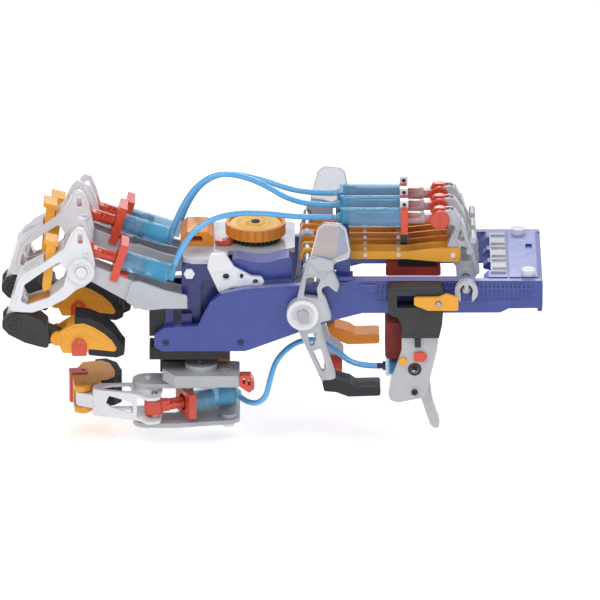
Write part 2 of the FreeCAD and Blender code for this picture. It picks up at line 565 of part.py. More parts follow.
for i in (1, 3):
    s = -1.0 if i == 1 else 1.0
    name = "input_lever_%d" % i
    y0 = s * 62.5
    plate = Profile(name + "_plate")
    plate.pad(LEVER_OUT, "lever_width", 2.0)
    for w in LEVER_WINDOWS:
        plate.pocket(w, 30.0, 1.4)
    plate.boss(LEVER_PIVOT, 12.6, 9.0)
    top = Profile(name + "_top")
    top.pad(LEVER_TOP, 3.0, 4.0)
    top.body.Placement = at(0, -s * 0.0, 0)
    shell = fuse(name + "_shell", [plate, top])
    pin_from, pin_to = (3.5, 43.8) if i == 1 else (-43.8, -3.5)
    pin = rod(name + "_pin", "pin_radius", pin_from, pin_to, LINK_A, "y")
    centre = ROWS[i] - y0
    eye = rod(name + "_eye", 4.6, centre - 5.4, centre + 5.4, LINK_A, "y")
    post = rod(name + "_post", 3.4, min(3.4 * -s, 27.4 * -s), max(3.4 * -s, 27.4 * -s), LINK_A, "y")
    band = Profile(name + "_stirrup")
    band.pad(STIRRUP, "stirrup_width", 2.0)
    band.body.Placement = at(0, -s * 6.5, 0)
    whole = fuse(name + "_whole", [shell, pin, eye, post, band])
    hole = rod(name + "_bore", "cross_hole_radius", -20.0, 20.0, LEVER_PIVOT, "y")
    publish(name, cut(name, whole, hole), at(0, y0, 0))

name = "input_lever_2"
plate = Profile(name + "_plate")
plate.pad(MID_LEVER, "mid_lever_width", 2.0)
plate.pocket([(0.6, 24.0), (8.6, 24.0), (8.8, 42.0), (1.8, 42.0)], 30.0, 1.2)
plate.pocket([(4.0, -2.0), (10.4, -1.0), (16.8, -27.0), (14.6, -29.5)], 30.0, 1.2)
plate.boss(LEVER_PIVOT, 8.6, 14.0)
plate.hole(LEVER_PIVOT, "cross_hole_radius")
mid_pin = rod(name + "_pin", "pin_radius", -8.6, 8.6, LINK_A, "y")
ring = cut(name + "_ring", rod(name + "_ring_out", 12.6, 19.0, 33.0, (0.0, -55.0), "x"),
           rod(name + "_ring_in", 10.0, 10.0, 40.0, (0.0, -55.0), "x"))
publish(name, fuse(name, [plate, mid_pin, ring]))

# ---------------------------------------------------------------- side arms
ARM = [(-113.1, -7.4), (-105.3, -1.5), (-78.0, 0.2), (-73.3, 11.0), (-67.9, 21.0), (-60.8, 26.9), (-42.9, 31.1),
       (-7.8, 33.6), (35.1, 36.1), (40.6, 37.8), (188.0, 37.8), (188.0, 15.2), (161.5, 14.8), (155.2, 11.4),
       (48.4, 11.0), (23.4, 4.3), (-39.0, -19.5), (-42.9, -20.7), (-107.6, -20.7), (-113.1, -16.6)]
TOOTH = 3.3
arms = []
for side, s in (("near", -1.0), ("far", 1.0)):
    a = Profile("%s_arm_plate" % side)
    a.pad(ARM, "arm_thickness", 2.0)
    a.hole(LEVER_PIVOT, "cross_axle_radius")
    a.hole(ROCKER_PIVOT, "cross_axle_radius")
    a.body.Placement = at(0, s * 54.0, 0)
    pieces = [a]
    lip = box("%s_arm_lip" % side, (40.0, 136.0), (-52.0 if s < 0 else 47.0, -47.0) if s < 0 else (47.0, 52.0), (35.0, 37.8))
    pieces.append(lip)
    # rack teeth on the outer upper edge of the rail
    comb = [(57.6, 31.0), (57.6, 32.0)]
    for k in range(37):
        x = 58.5 + TOOTH * k
        comb += [(x, 32.0), (x + 0.6, 36.6), (x + 1.3, 36.6), (x + 1.9, 32.0)]
    comb += [(181.4, 32.0), (181.4, 31.0)]
    t = Profile("%s_rack" % side)
    t.pad(comb, 1.6, 0.0)
    t.hole(ROCKER_PIVOT, "cross_axle_radius")
    t.body.Placement = at(0, s * 57.4, 0)
    pieces.append(t)
    for k, (x0, x1, z0, z1) in enumerate(((47.0, 58.5, 29.5, 34.5),)):
        pieces.append(box("%s_stop_%d" % (side, k), (x0, x1), (-59.5, -56.0) if s < 0 else (56.0, 59.5), (z0, z1)))
    arms.append(fuse("%s_arm" % side, pieces))
publish("side_arms", group("side_arms", arms))

# ------------------------------------------------------ rear housing and rack
deck = Profile("rear_deck")
deck.pad([(141.0, 33.4), (146.0, 38.6), (184.0, 38.6), (188.0, 36.0), (188.0, 10.0), (184.0, 10.0), (184.0, 31.0), (150.0, 31.0)],
         101.6, 1.5)
deck_body = deck.body
slots = [box("rear_slot_%d" % i, (136.0, 149.0), (y - 9.2, y + 9.2), (20.0, 44.0)) for i, y in ROWS.items()]
notch = box("rear_notch", (176.0, 181.0), (10.0, 22.0), (36.6, 44.0))
groove = box("rear_groove", (161.0, 162.2), (-51.0, 51.0), (37.6, 44.0))
deck_cut = cut("rear_deck_cut", deck_body, group("rear_cutters", slots + [notch, groove]))
# bridge that carries the master syringes
front = [box("front_beam", (29.0, 38.0), (-50.9, 50.9), (62.0, 70.6)),
         box("front_post_near", (28.0, 39.0), (-50.9, -44.0), (37.9, 62.5)),
         box("front_post_far", (28.0, 39.0), (44.0, 50.9), (37.9, 62.5))]
feet = [box("front_foot_near", (26.0, 41.0), (-57.0, -44.0), (37.9, 41.0)),
        box("front_foot_far", (26.0, 41.0), (44.0, 57.0), (37.9, 41.0))]
saddles = []
for i, y in ROWS.items():
    blk = box("saddle_block_%d" % i, (30.0, 37.0), (y - 8.5, y + 8.5), (68.0, 76.0))
    hol = rod("saddle_hollow_%d" % i, 8.02, 20.0, 50.0, (y, MASTER_Z), "x")
    saddles.append(cut("saddle_%d" % i, blk, hol))
front_all = fuse("front_bridge", front + feet + saddles)
rear = [box("rear_beam", (78.2, 83.2), (-37.0, 37.0), (62.0, 67.9)),
        box("rear_leg_near", (78.2, 83.2), (-16.5, -10.5), (42.6, 63.0)),
        box("rear_leg_far", (78.2, 83.2), (10.5, 16.5), (42.6, 63.0)),
        box("wrist_beam", (80.0, 98.0), (-20.0, 50.9), (38.6, 42.6)),
        box("wrist_plate", (76.0, 106.0), (-25.0, 25.0), (38.6, 42.6))]
rear_all = fuse("rear_bridge", rear)
publish("frame_bridges", group("frame_bridges", [deck_cut, front_all, rear_all]))

panel = doc.addObject("Part::Box", "rear_panel")
panel.Length, panel.Width, panel.Height = 12.0, 84.0, 1.4
panel.Placement = at(148.0, -42.0, 38.65)
fingers = [box("rear_finger_%d" % k, (149.2, 160.0), (y - 1.2, y + 1.2), (40.05, 41.6)) for k, y in
           enumerate((-36.0, -18.0, -9.0, 9.0, 18.0, 36.0))]
publish("rear_panel", fuse("rear_panel_set", [panel] + fingers))

# ------------------------------------------------------------ palm and plates
palm = Profile("palm_block")
palm.pad([(-91.8, -6.0), (-91.8, 44.0), (-88.6, 47.4), (-56.0, 47.4), (-53.0, 44.0), (-53.0, 5.0), (-60.0, -6.0)], 92.0, 1.5)
recess_near = box("palm_recess_near", (-77.0, -57.0), (-50.0, -42.0), (2.0, 34.0))
recess_far = box("palm_recess_far", (-77.0, -57.0), (42.0, 50.0), (2.0, 34.0))
rest = group("palm_recesses", [recess_near, recess_far])
palm_cut = cut("palm_cut", palm, rest)
posts = [box("palm_post_near", (-104.5, -98.3), (-50.8, -46.0), (-20.6, 13.3)),
         box("palm_post_far", (-104.5, -98.3), (46.0, 50.8), (-20.6, 13.3)),
         box("palm_floor", (-104.5, -58.0), (-50.8, 50.8), (-20.6, -5.9)),
         box("palm_spacer_near", (-92.0, -84.0), (-50.8, -45.9), (-8.0, 8.0)),
         box("palm_spacer_far", (-92.0, -84.0), (45.9, 50.8), (-8.0, 8.0))]
palm_all = fuse("palm_all", [palm_cut] + posts)
pod = Profile("pod")
pod.pad([(-52.6, 46.6), (-49.0, 47.3), (-9.0, 47.3), (-6.2, 44.0), (-6.2, 34.6), (-29.6, 33.0), (-46.8, 38.0), (-52.6, 40.0)], 80.0, 2.0)
pod.body.Placement = at(0, -3.0, 0)
wave = Profile("palm_pod_front")
wave.pad([(-52.6, 40.0), (-52.6, 49.6), (-49.0, 51.4), (-42.0, 49.6), (-33.0, 47.6), (-24.0, 47.8), (-15.0, 50.6), (-9.0, 51.8),
          (-6.2, 49.0), (-6.2, 34.6), (-29.6, 33.0), (-46.8, 38.0)], 17.0, 1.2)
wave.body.Placement = at(0, -34.6, 0)
pod_all = fuse("palm_pod_all", [pod, wave])
publish("palm_housing", group("palm_housing", [palm_all, pod_all]))

base_blocks = [box("base_block", (-105.0, -54.6), (-50.8, 50.8), (-30.0, -20.7)),
               box("base_plate_front", (-117.0, -105.0), (-50.8, -30.0), (-30.0, 13.3)),
               box("base_plate_back", (-117.0, -105.0), (30.0, 50.8), (-30.0, 13.3)),
               box("base_lower", (-109.0, -54.6), (-26.0, 50.8), (-50.0, -29.9))]
base_notch = box("base_notch", (-118.0, -112.4), (-60.0, 60.0), (-20.0, -10.4))
publish("palm_base", cut("palm_base", fuse("palm_base_all", base_blocks), base_notch))

plate = Profile("deck_plate")
plate.pad([(-91.0, -42.0), (-91.0, 36.0), (-4.0, 36.0), (-4.0, -20.0), (-14.0, -25.4), (-53.6, -25.4), (-56.0, -29.0), (-56.0, -46.0), (-84.0, -46.0)],
          4.0, 3.0, "XY_Plane")
plate.body.Placement = at(0, 0, 49.5)
spigot = rod("dial_spigot", 5.0, 51.4, 62.0, (-34.6, 0.0), "z")
pawl_post = rod("pawl_post", 2.0, 51.4, 57.4, (-58.0, -14.0), "z")
plate_all = fuse("deck_plate_all", [plate, spigot, pawl_post])
bracket = Profile("side_bracket")
bracket.pad([(-71.8, 46.0), (-70.0, 56.9), (-57.7, 56.9), (-50.7, 46.1), (-37.4, 38.5), (-29.6, 37.9), (-27.6, 34.4),
             (-30.2, 30.6), (-39.0, 30.6), (-44.0, 30.0), (-53.0, 29.4), (-56.2, 27.5), (-62.4, 24.6), (-64.9, 30.2)], 3.6, 2.0)
bracket.hole((-57.3, 38.6), 2.6)
bracket.hole((-34.4, 34.3), 2.2)
bracket.pocket([(-46.6, 36.6), (-43.8, 36.6), (-43.8, 41.0), (-46.6, 41.0)], 20.0, 1.2)
bracket.body.Placement = at(0, -48.2, 0)
publish("top_plate", group("top_plate", [plate_all, bracket]))

oc = Profile("orange_clamp")
oc.pad([(-93.0, 51.6), (-93.0, 58.0), (-88.0, 63.0), (-72.0, 63.0), (-67.0, 59.0), (-67.0, 51.6)], 34.0, 1.6)
oc.pocket([(-86.5, 55.0), (-75.0, 55.0), (-76.5, 59.6), (-84.5, 59.6)], 60.0, 1.0)
oc.hole((-78.0, 0.0), 2.0, 200.0, "XY_Plane")
tab = box("orange_tab", (-64.0, -54.7), (-32.0, -26.1), (-39.0, -30.2))
publish("front_clamp", group("front_clamp", [oc, tab]))

neighbours = group("cradle_neighbours", [palm_all] + barrels + clamps)
palm_trim = group("cradle_limits", [box("cradle_stop", (-60.0, 40.0), (-60.0, 60.0), (-60.0, 100.0))] + base_blocks)
cradles = cut("cradles_1", group("cradles_0", cradle_bits), neighbours)
publish("finger_cradles", cut("cradles_2", cradles, palm_trim))

# ----------------------------------------------------------------- the dial
dial = doc.addObject("Part::Cylinder", "dial_wheel")
bind(dial, "Radius", "dial_radius")
bind(dial, "Height", "dial_height")
dial.Placement = at(0, 0, 5.2)
dish = rod("dial_dish", 20.6, 12.6, 20.0, (0, 0), "z")
dial_top = cut("dial_dished", dial, dish)
gear = rod("dial_gear_core", 17.6, 0.4, 5.2, (0, 0), "z")
teeth = []
for k in range(32):
    a = k * 11.25
    t = box("dial_tooth_%d" % k, (17.0, 19.5), (-0.9, 0.9), (0.4, 5.2))
    t.Placement = Place(V(0, 0, 0), Turn(V(0, 0, 1), a)).multiply(t.Placement)
    teeth.append(t)
grips = []
for k in range(24):
    g = rod("dial_grip_%d" % k, 0.9, 6.2, 13.4, (23.3, 0.0), "z")
    g.Placement = Place(V(0, 0, 0), Turn(V(0, 0, 1), k * 15.0)).multiply(g.Placement)
    grips.append(g)
dial_bore = rod("dial_bore", 5.3, -2.0, 10.9, (0, 0), "z")
dial_cut = cut("dial_bored", dial_top, group("dial_cutters", [dial_bore] + grips))
gear_cut = cut("dial_gear_bored", fuse("dial_gear", [gear] + teeth), rod("dial_gear_bore", 5.3, -2.0, 10.9, (0, 0), "z"))
publish("dial", group("dial_set", [dial_cut, gear_cut]), at(-34.6, 0.0, 51.5))

pawl = Profile("pawl_plate")
pawl.pad([(-3.8, -3.6), (3.4, -3.8), (6.3, 2.0), (5.2, 4.5), (-3.6, 4.2), (-7.5, 2.6), (-8.0, -1.5)], 3.4, 0.8, "XY_Plane")
pawl.hole((0, 0), 2.3, 30.0, "XY_Plane")
pawl.body.Placement = at(0, 0, 2.5)
publish("dial_pawl", pawl, at(-58.0, -14.0, 51.5))

# ------------------------------------------------------- thumb base and feet
deck = Profile("thumb_block")
deck.pad([(-107.0, -42.0), (-97.0, -58.0), (-47.0, -58.0), (-47.0, -26.1), (-107.0, -26.1)], 9.4, 2.0, "XY_Plane")
deck.body.Placement = at(0, 0, -45.8)
low = Profile("thumb_low_plate")
low.pad([(-118.6, -39.9), (-96.0, -39.9), (-52.0, -32.0), (-47.0, -26.0), (-47.0, 12.0), (-66.0, 12.0), (-98.0, -16.1), (-118.6, -16.1)],
        3.5, 1.5, "XY_Plane")
low.body.Placement = at(0, 0, -89.75)
thumb_bits = [deck, low,
              box("thumb_rib", (-92.0, -52.0), (-38.0, -26.1), (-58.3, -50.4)),
              box("thumb_shelf", (-66.0, -50.0), (-38.0, 10.0), (-58.4, -54.9)),
              box("thumb_leg", (-64.0, -50.0), (2.6, 10.0), (-91.4, -54.9)),
              box("thumb_yoke_top", (-118.6, -66.0), (-40.0, -16.0), (-58.4, -54.9)),
              rod("thumb_disc", 12.6, -41.2, -36.4, (-77.0, -39.2), "z"),
              rod("thumb_boss", 4.6, -41.2, -39.8, (-58.6, -41.0), "z"),
              rod("thumb_low_boss", 6.4, -88.1, -84.6, (-56.0, -24.0), "z"),
              rod("thumb_yoke_eye_top", 12.0, -58.4, -54.9, (-118.6, -28.0), "z"),
              rod("thumb_yoke_eye_low", 12.0, -91.5, -88.0, (-118.6, -28.0), "z")]
thumb_all = fuse("thumb_base_all", thumb_bits)
bore = rod("thumb_yoke_bore", "axle_radius", -95.0, -50.0, (-118.6, -28.0), "z")
disc_hole = rod("thumb_disc_hole", 3.2, -39.4, -30.0, (-77.0, -40.6), "z")
disc_slot = box("thumb_disc_slot", (-78.6, -75.4), (-34.2, -32.4), (-38.0, -30.0))
boss_slot = box("thumb_boss_slot", (-60.6, -56.6), (-41.6, -40.4), (-40.6, -30.0))
thumb_cut = cut("thumb_base_cut", thumb_all, group("thumb_cutters", [bore, disc_hole, disc_slot, boss_slot]))
guide = Profile("hose_bracket")
guide.pad([(-46.9, -41.5), (-38.5, -41.5), (-35.5, -46.5), (-35.5, -52.0), (-39.5, -55.5), (-46.9, -50.3)], 10.0, 1.0)
guide.pocket([(-44.6, -43.6), (-42.4, -43.6), (-42.4, -48.2), (-44.6, -48.2)], 30.0, 0.6)
guide.pocket([(-40.6, -44.6), (-38.4, -45.6), (-38.4, -49.8), (-40.6, -49.0)], 30.0, 0.6)
guide.body.Placement = at(0, -52.0, 0)
publish("thumb_base", group("thumb_base", [thumb_cut, guide]))

# ------------------------------------------------------------------ handle
SLIDER = [(67.9, 36.0), (71.0, 37.7), (108.4, 37.7), (110.8, 35.2), (110.8, 17.6), (110.0, 6.8), (107.6, -4.1),
          (78.8, -4.1), (78.8, 6.8), (75.7, 12.6), (70.2, 15.1), (67.9, 17.6)]
body = Profile("handle_slider")
body.pad(SLIDER, 13.4, 1.4)
body.pocket([(74.9, 21.0), (89.7, 21.0), (89.7, 31.0), (74.9, 31.0)], 40.0, 1.6)
body.body.Placement = at(0, -65.3, 0)
bridge = [box("handle_bridge", (80.0, 106.0), (-60.0, -40.0), (-4.0, 8.6)),
          box("handle_drop", (80.0, 92.0), (-60.0, -42.0), (-27.9, -3.9))]
slider_all = fuse("handle_slider_all", [body] + bridge)
latch_pin = rod("latch_pin", "pin_radius", -76.4, -70.0, (116.0 - 9.0, 25.6), "y")
publish("handle_clamp", fuse("handle_clamp", [slider_all, latch_pin]))

PLATE = [(78.8, -4.3), (107.6, -4.3), (106.1, -15.7), (101.4, -36.6), (98.6, -51.6), (93.6, -55.6), (76.4, -59.1),
         (70.2, -57.4), (68.6, -52.4), (70.2, -40.7), (74.9, -28.2), (78.8, -15.7)]
T_LEVER = (95.5, -50.45)
pl = Profile("handle_face")
pl.pad(PLATE, "plate_thickness", 3.0)
pl.hole((88.9, -31.4), 3.4)
pl.body.Placement = at(0, -66.0, 0)
axle = rod("thumb_lever_axle", "axle_radius", -64.2, -44.0, T_LEVER, "y")
socket = box("socket", (88.9, 93.6), (-70.2, -67.9), (-12.6, -5.2))
round_button = rod("round_button", 3.2, -70.6, -67.9, (79.6, -24.2), "y")
key = Profile("key_button")
key.pad([(88.0, -16.8), (96.0, -16.8), (99.2, -20.4), (96.0, -24.4), (88.0, -24.4)], 2.6, 2.0)
key.body.Placement = at(0, -69.2, 0)
screw = rod("plate_screw", 2.0, -69.4, -67.9, (88.9, -50.2), "y")
rib = box("plate_link", (82.0, 90.0), (-64.1, -60.1), (-26.0, -6.0))
face_all = fuse("handle_face_all", [pl, axle, rib])
publish("handle_plate", group("handle_plate", [face_all, socket, round_button, key, screw]))

grip = Profile("grip_core")
grip.pad([(66.0, 1.0), (67.5, 3.4), (78.0, 3.4), (79.9, 1.0), (79.9, -24.0), (78.0, -26.6), (68.0, -26.6), (66.0, -24.0)], 30.0, 2.4)
grip.body.Placement = at(0, -43.4, 0)
publish("palm_grip", grip)

TM = Place(V(84.5, THUMB_MASTER[1], THUMB_MASTER[2]), Turn(V(0, 0, 1), 180.0))
tb = moved(barrel("thumb_master_tube", 18.0, False), TM)
cl_block = box("thumb_master_block", (84.5, 87.0), (-56.0, -40.0), (-44.4, -27.95))
cl_hole = rod("thumb_master_hole", "bore_radius", 80.0, 90.0, (THUMB_MASTER[1], THUMB_MASTER[2]), "x")
stub = rod("thumb_master_stub", 1.0, 51.0, 60.1, (THUMB_MASTER[1], THUMB_MASTER[2]), "x")
tube_and_stub = fuse("thumb_master_tube_stub", [tb, stub])
publish("thumb_master_barrel", group("thumb_master_barrel", [tube_and_stub, cut("thumb_master_clamp", cl_block, cl_hole)]))

THUMB_MASTER = (95.0, -48.0, -36.3)
tm = Profile("thumb_master_eye")
tm.pad([(-5.6, -9.6), (5.6, -9.6), (5.6, 5.4), (-5.6, 5.4)], "eye_width", 4.0)
tm.pad([(-10.0, -3.0), (-4.0, -3.0), (-4.0, 3.0), (-10.0, 3.0)], "eye_width", 0.4)
tm.pocket([(-2.7, -7.0), (2.7, -7.0), (2.7, 2.7), (-2.7, 2.7)], 20.0, 2.6)
tm_stem = [box("thumb_master_web", (-20.0, -9.0), (-1.5, 1.5), (-4.2, 4.2)),
           box("thumb_master_flat", (-20.0, -9.0), (-4.2, 4.2), (-1.5, 1.5)),
           rod("thumb_master_collar", 6.0, -20.4, -17.0, (0, 0), "x")]
tm_solid = fuse("thumb_master_plunger", [tm] + tm_stem)
publish("thumb_master_rod", group("thumb_master_rod", [tm_solid, seal("thumb_master_seal", -25.4)]), at(*THUMB_MASTER))

STRAP = [(-6.0, 3.0), (-4.6, 14.0), (-3.4, 18.6), (2.6, 18.6), (4.8, 14.0), (6.0, 0.0), (7.4, -9.0), (9.6, -17.0),
         (13.0, -26.0), (12.6, -31.4), (9.0, -32.4), (5.6, -28.8), (2.0, -18.0), (-1.0, -8.0)]
strap = Profile("thumb_strap")
strap.pad(STRAP, 11.0, 2.2)
strap.hole((0, 0), "axle_hole_radius")
strap.body.Placement = at(0, 0, 0)
strap_pin = rod("thumb_strap_pin", "pin_radius", 5.0, 11.9, (-0.5, 14.15), "y")
publish("thumb_lever", fuse("thumb_lever", [strap, strap_pin]), at(T_LEVER[0], -57.2, T_LEVER[1]))

latch = Profile("latch_plate")
latch.pad([(-18.9, 5.2), (0.0, 5.4), (6.0, 8.0), (15.4, 5.0), (15.4, -5.6), (-8.0, -5.6), (-18.9, -1.0)], "latch_thickness", 1.6)
latch.hole((0, 0), "pin_hole_radius")
publish("handle_latch", latch, at(107.0, -74.0, 25.6))

# -------------------------------------------------------- axles and fasteners
fixed = []
for i, pivot in FINGERS.items():
    for k, (y0, y1, r0) in enumerate(((-17.0, 17.0, "axle_radius"), (-17.0, -15.4, 4.4), (15.4, 17.0, 4.4))):
        pass
    axle_i = fuse("finger_axle_%d" % i, [rod("finger_axle_%d_pin" % i, "axle_radius", -17.0, 17.0, (0, 0), "y"),
                                         rod("finger_axle_%d_a" % i, 4.4, -17.0, -15.4, (0, 0), "y"),
                                         rod("finger_axle_%d_b" % i, 4.4, 15.4, 17.0, (0, 0), "y")])
    fixed.append(moved(axle_i, at(*pivot)))
fixed.append(rod("thumb_axle", "axle_radius", -93.0, -53.4, (THUMB[0], THUMB[1]), "z"))
lever_axle = fuse("lever_axle", [rod("lever_axle_bar", "cross_axle_radius", -69.0, 69.0, LEVER_PIVOT, "y"),
                                 rod("lever_axle_cap_a", 5.0, -69.2, -67.4, LEVER_PIVOT, "y"),
                                 rod("lever_axle_cap_b", 5.0, 67.4, 69.2, LEVER_PIVOT, "y")])
fixed.append(lever_axle)
hook = Profile("rocker_hook")
hook.boss((0, 0), 9.0, 7.0)
hook.pocket([(-4.6, 2.0), (-3.8, -20.0), (3.8, -20.0), (4.6, 2.0)], 20.0, 0.5)
hook.hole((0, 1.0), 5.0)
hook.body.Placement = at(ROCKER_PIVOT[0], -61.9, ROCKER_PIVOT[1])
rocker_axle = fuse("rocker_axle", [rod("rocker_axle_bar", "cross_axle_radius", -61.0, 60.0, ROCKER_PIVOT, "y"),
                                   rod("rocker_axle_cap", 5.0, 58.6, 60.6, ROCKER_PIVOT, "y")])
web = box("rocker_hook_web", (ROCKER_PIVOT[0] - 1.5, ROCKER_PIVOT[0] + 1.5), (-65.4, -58.4), (ROCKER_PIVOT[1], ROCKER_PIVOT[1] + 9.0))
fixed.append(fuse("rocker_axle_set", [rocker_axle, hook, web]))
for k, (x, y, z) in enumerate(((170.8, 46.0, 38.6), (177.0, -45.0, 38.6))):
    knob = rod("knob_%d" % k, 5.4, z, z + 4.4, (x, y), "z")
    slot = box("knob_%d_slot" % k, (x - 6, x + 6), (y - 0.7, y + 0.7), (z + 3.2, z + 6))
    fixed.append(cut("knob_%d_cut" % k, knob, slot))
hexes = [(-85.8, -46.0, 40.0)]
for k, (x, y, z) in enumerate(hexes):
    prism = doc.addObject("Part::Prism", "hex_%d" % k)
    prism.Polygon, prism.Circumradius, prism.Height = 6, 4.4, 2.6
    prism.Placement = Place(V(x, y, z), Turn(V(0, 0, 1), V(0, -1, 0)))
    fixed.append(prism)
for i, y in ROWS.items():
    fixed.append(fuse("square_cap_%d" % i, [box("square_cap_%d_a" % i, (77.6, 83.9), (y - 3.4, y + 3.4), (88.5, 93.6)),
                                            rod("square_cap_%d_b" % i, 1.5, y - 4.2, y - 3.3, (80.8, 91.0), "y")]))
for k, (x, y) in enumerate(((-56.0, -24.0),)):
    fixed.append(rod("foot_%d" % k, 4.4, -95.4, -91.5, (x, y), "z"))
publish("fasteners", group("fasteners", fixed))

# ---------------------------------------------------------------- wrist pad
wp = Profile("wrist_cushion")
wp.pad([(66.0, 30.2), (68.0, 38.5), (108.0, 38.5), (110.0, 30.2), (102.0, 28.0), (74.0, 28.0)], 52.0, 2.0)
publish("wrist_pad", wp)

# ------------------------------------------------------------------- hoses
def hose(node, points):
    pts = [V(*p) for p in points]
    n = len(pts)
    runs = [(pts[k + 1] - pts[k]).Length for k in range(n - 1)]
    edges, last, radii, length = [], pts[0], [], 0.0
    for k in range(1, n - 1):
        u, w = pts[k - 1] - pts[k], pts[k + 1] - pts[k]
        u.normalize()
        w.normalize()
        turn = math.pi - u.getAngle(w)
        r = 0.45 * min(runs[k - 1], runs[k]) / math.tan(turn / 2)
        t = r * math.tan(turn / 2)
        p, q = pts[k] + u * t, pts[k] + w * t
        mid = u + w
        mid.normalize()
        peak = pts[k] + mid * (r / math.cos(turn / 2) - r)
        edges.append(Part.LineSegment(last, p).toShape())
        edges.append(Part.Arc(p, peak, q).toShape())
        radii.append(r)
        last = q
    edges.append(Part.LineSegment(last, pts[-1]).toShape())
    length = sum(e.Length for e in edges)
    path = Part.Wire(edges)
    start = pts[1] - pts[0]
    start.normalize()
    outer = Part.Wire(Part.Circle(pts[0], start, VALUE["hose_radius"]).toShape())
    inner = Part.Wire(Part.Circle(pts[0], start, VALUE["hose_bore_radius"]).toShape())
    tube = path.makePipeShell([outer], True, True).cut(path.makePipeShell([inner], True, True))
    area = math.pi * (VALUE["hose_radius"] ** 2 - VALUE["hose_bore_radius"] ** 2)
    if abs(tube.Volume / (area * length) - 1) > 0.01 or not tube.isValid():
        raise RuntimeError("bad hose " + node)
    print(node, "length %.1f" % length, "radii", ["%.1f" % r for r in radii])
    f = doc.addObject("Part::Feature", node)
    f.Shape = tube
    publish(node, f)


def spout_tip(place, far):
    return place.multVec(V(far + 2.5, 0, 9.0))


s1 = spout_tip(syringe_place(FINGERS[1]), 37.0)
s2 = spout_tip(syringe_place(FINGERS[2]), 37.0)
s3 = spout_tip(syringe_place(FINGERS[3]), 37.0)
ts = spout_tip(thumb_slave, 37.0)
up = V(0.309, 0, 0.951)
NOSE = 78.0 - 47.0 - 6.5
for p in (s1, s2, s3, ts):
    print("spout", [round(c, 3) for c in p])
print("thumb spout direction", thumb_slave.Rotation.multVec(V(0, 0, 1)))


def first(p, d, run):
    q = p + d * run
    return (q.x, q.y, q.z)


hose("hose_1", [tuple(s1), first(s1, up, 13.0), (-79.0, -41.0, 77.0), (-57.0, -35.0, 85.0), (-29.0, -30.0, 84.0),
                (0.0, -27.0, 79.0), (NOSE, -27.0, 79.0)])
hose("hose_2", [tuple(s2), first(s2, up, 15.0), (-80.0, 1.5, 96.0), (-61.0, -1.0, 107.0), (-33.0, 0.5, 99.5),
                (-2.0, 0.0, 79.0), (NOSE, 0.0, 79.0)])
hose("hose_3", [tuple(s3), first(s3, up, 15.0), (-76.0, 42.5, 83.0), (-58.0, 39.0, 92.0), (-30.0, 34.0, 88.0),
                (0.0, 27.0, 79.0), (NOSE, 27.0, 79.0)])
out = thumb_slave.Rotation.multVec(V(0, 0, 1))
hose("hose_thumb", [tuple(ts), first(ts, out, 11.0), (-33.3, -38.0, -72.1), (-26.3, -41.8, -64.6), (-23.5, -40.4, -51.0),
                    (-18.0, -37.0, -34.0), (-3.0, -34.0, -21.5), (13.0, -32.0, -20.0), (27.0, -36.5, -26.5),
                    (42.0, -48.0, -36.3), (60.0, -48.0, -36.3)])

# ------------------------------------------------------------------- output
doc.recompute()
for obj in doc.Objects:
    for word in ("Invalid", "Error"):
        if word in obj.State:
            raise RuntimeError("%s is in state %s" % (obj.Name, obj.State))
for node, obj in PARTS:
    if obj.Shape.isNull() or not obj.Shape.isValid():
        raise RuntimeError("bad shape " + node)
os.makedirs("parts", exist_ok=True)
for node, obj in PARTS:
    obj.Shape.exportStep("parts/%s.step" % node)
print(len(PARTS), "parts")
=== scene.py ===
import json
import math
import bpy
import bmesh
from mathutils import Vector, Matrix

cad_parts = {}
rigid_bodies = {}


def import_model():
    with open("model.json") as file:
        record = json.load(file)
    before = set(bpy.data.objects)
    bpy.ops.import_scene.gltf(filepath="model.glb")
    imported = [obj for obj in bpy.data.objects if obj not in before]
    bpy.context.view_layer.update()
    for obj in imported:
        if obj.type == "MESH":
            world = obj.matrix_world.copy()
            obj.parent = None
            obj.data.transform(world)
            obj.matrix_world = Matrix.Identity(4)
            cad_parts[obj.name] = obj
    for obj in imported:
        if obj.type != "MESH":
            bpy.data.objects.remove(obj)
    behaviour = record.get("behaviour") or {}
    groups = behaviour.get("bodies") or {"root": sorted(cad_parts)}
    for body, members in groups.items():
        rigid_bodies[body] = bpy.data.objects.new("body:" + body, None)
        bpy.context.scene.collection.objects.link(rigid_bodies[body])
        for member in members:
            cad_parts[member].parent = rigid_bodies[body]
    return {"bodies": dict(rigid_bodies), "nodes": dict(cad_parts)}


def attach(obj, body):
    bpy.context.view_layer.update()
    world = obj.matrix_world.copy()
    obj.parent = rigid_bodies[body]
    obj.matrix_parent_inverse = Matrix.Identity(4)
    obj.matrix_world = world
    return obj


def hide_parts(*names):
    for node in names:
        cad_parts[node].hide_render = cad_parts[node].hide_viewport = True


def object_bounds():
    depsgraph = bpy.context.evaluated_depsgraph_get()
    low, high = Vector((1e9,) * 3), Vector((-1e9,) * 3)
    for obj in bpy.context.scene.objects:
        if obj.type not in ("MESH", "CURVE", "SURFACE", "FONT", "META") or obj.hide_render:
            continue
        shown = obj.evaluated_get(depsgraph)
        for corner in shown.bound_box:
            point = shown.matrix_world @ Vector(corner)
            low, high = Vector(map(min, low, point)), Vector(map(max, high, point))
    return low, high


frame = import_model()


def plain(b):
    return [[float(c) for c in p] for p in b]


cad_box = plain(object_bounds())
NODES, BODIES = frame["nodes"], frame["bodies"]


def W(x, y, z):
    """Drafting millimetres to the row frame in metres."""
    return Vector(((x - 88.0) / 1000.0, y / 1000.0, (z - 28.0) / 1000.0))


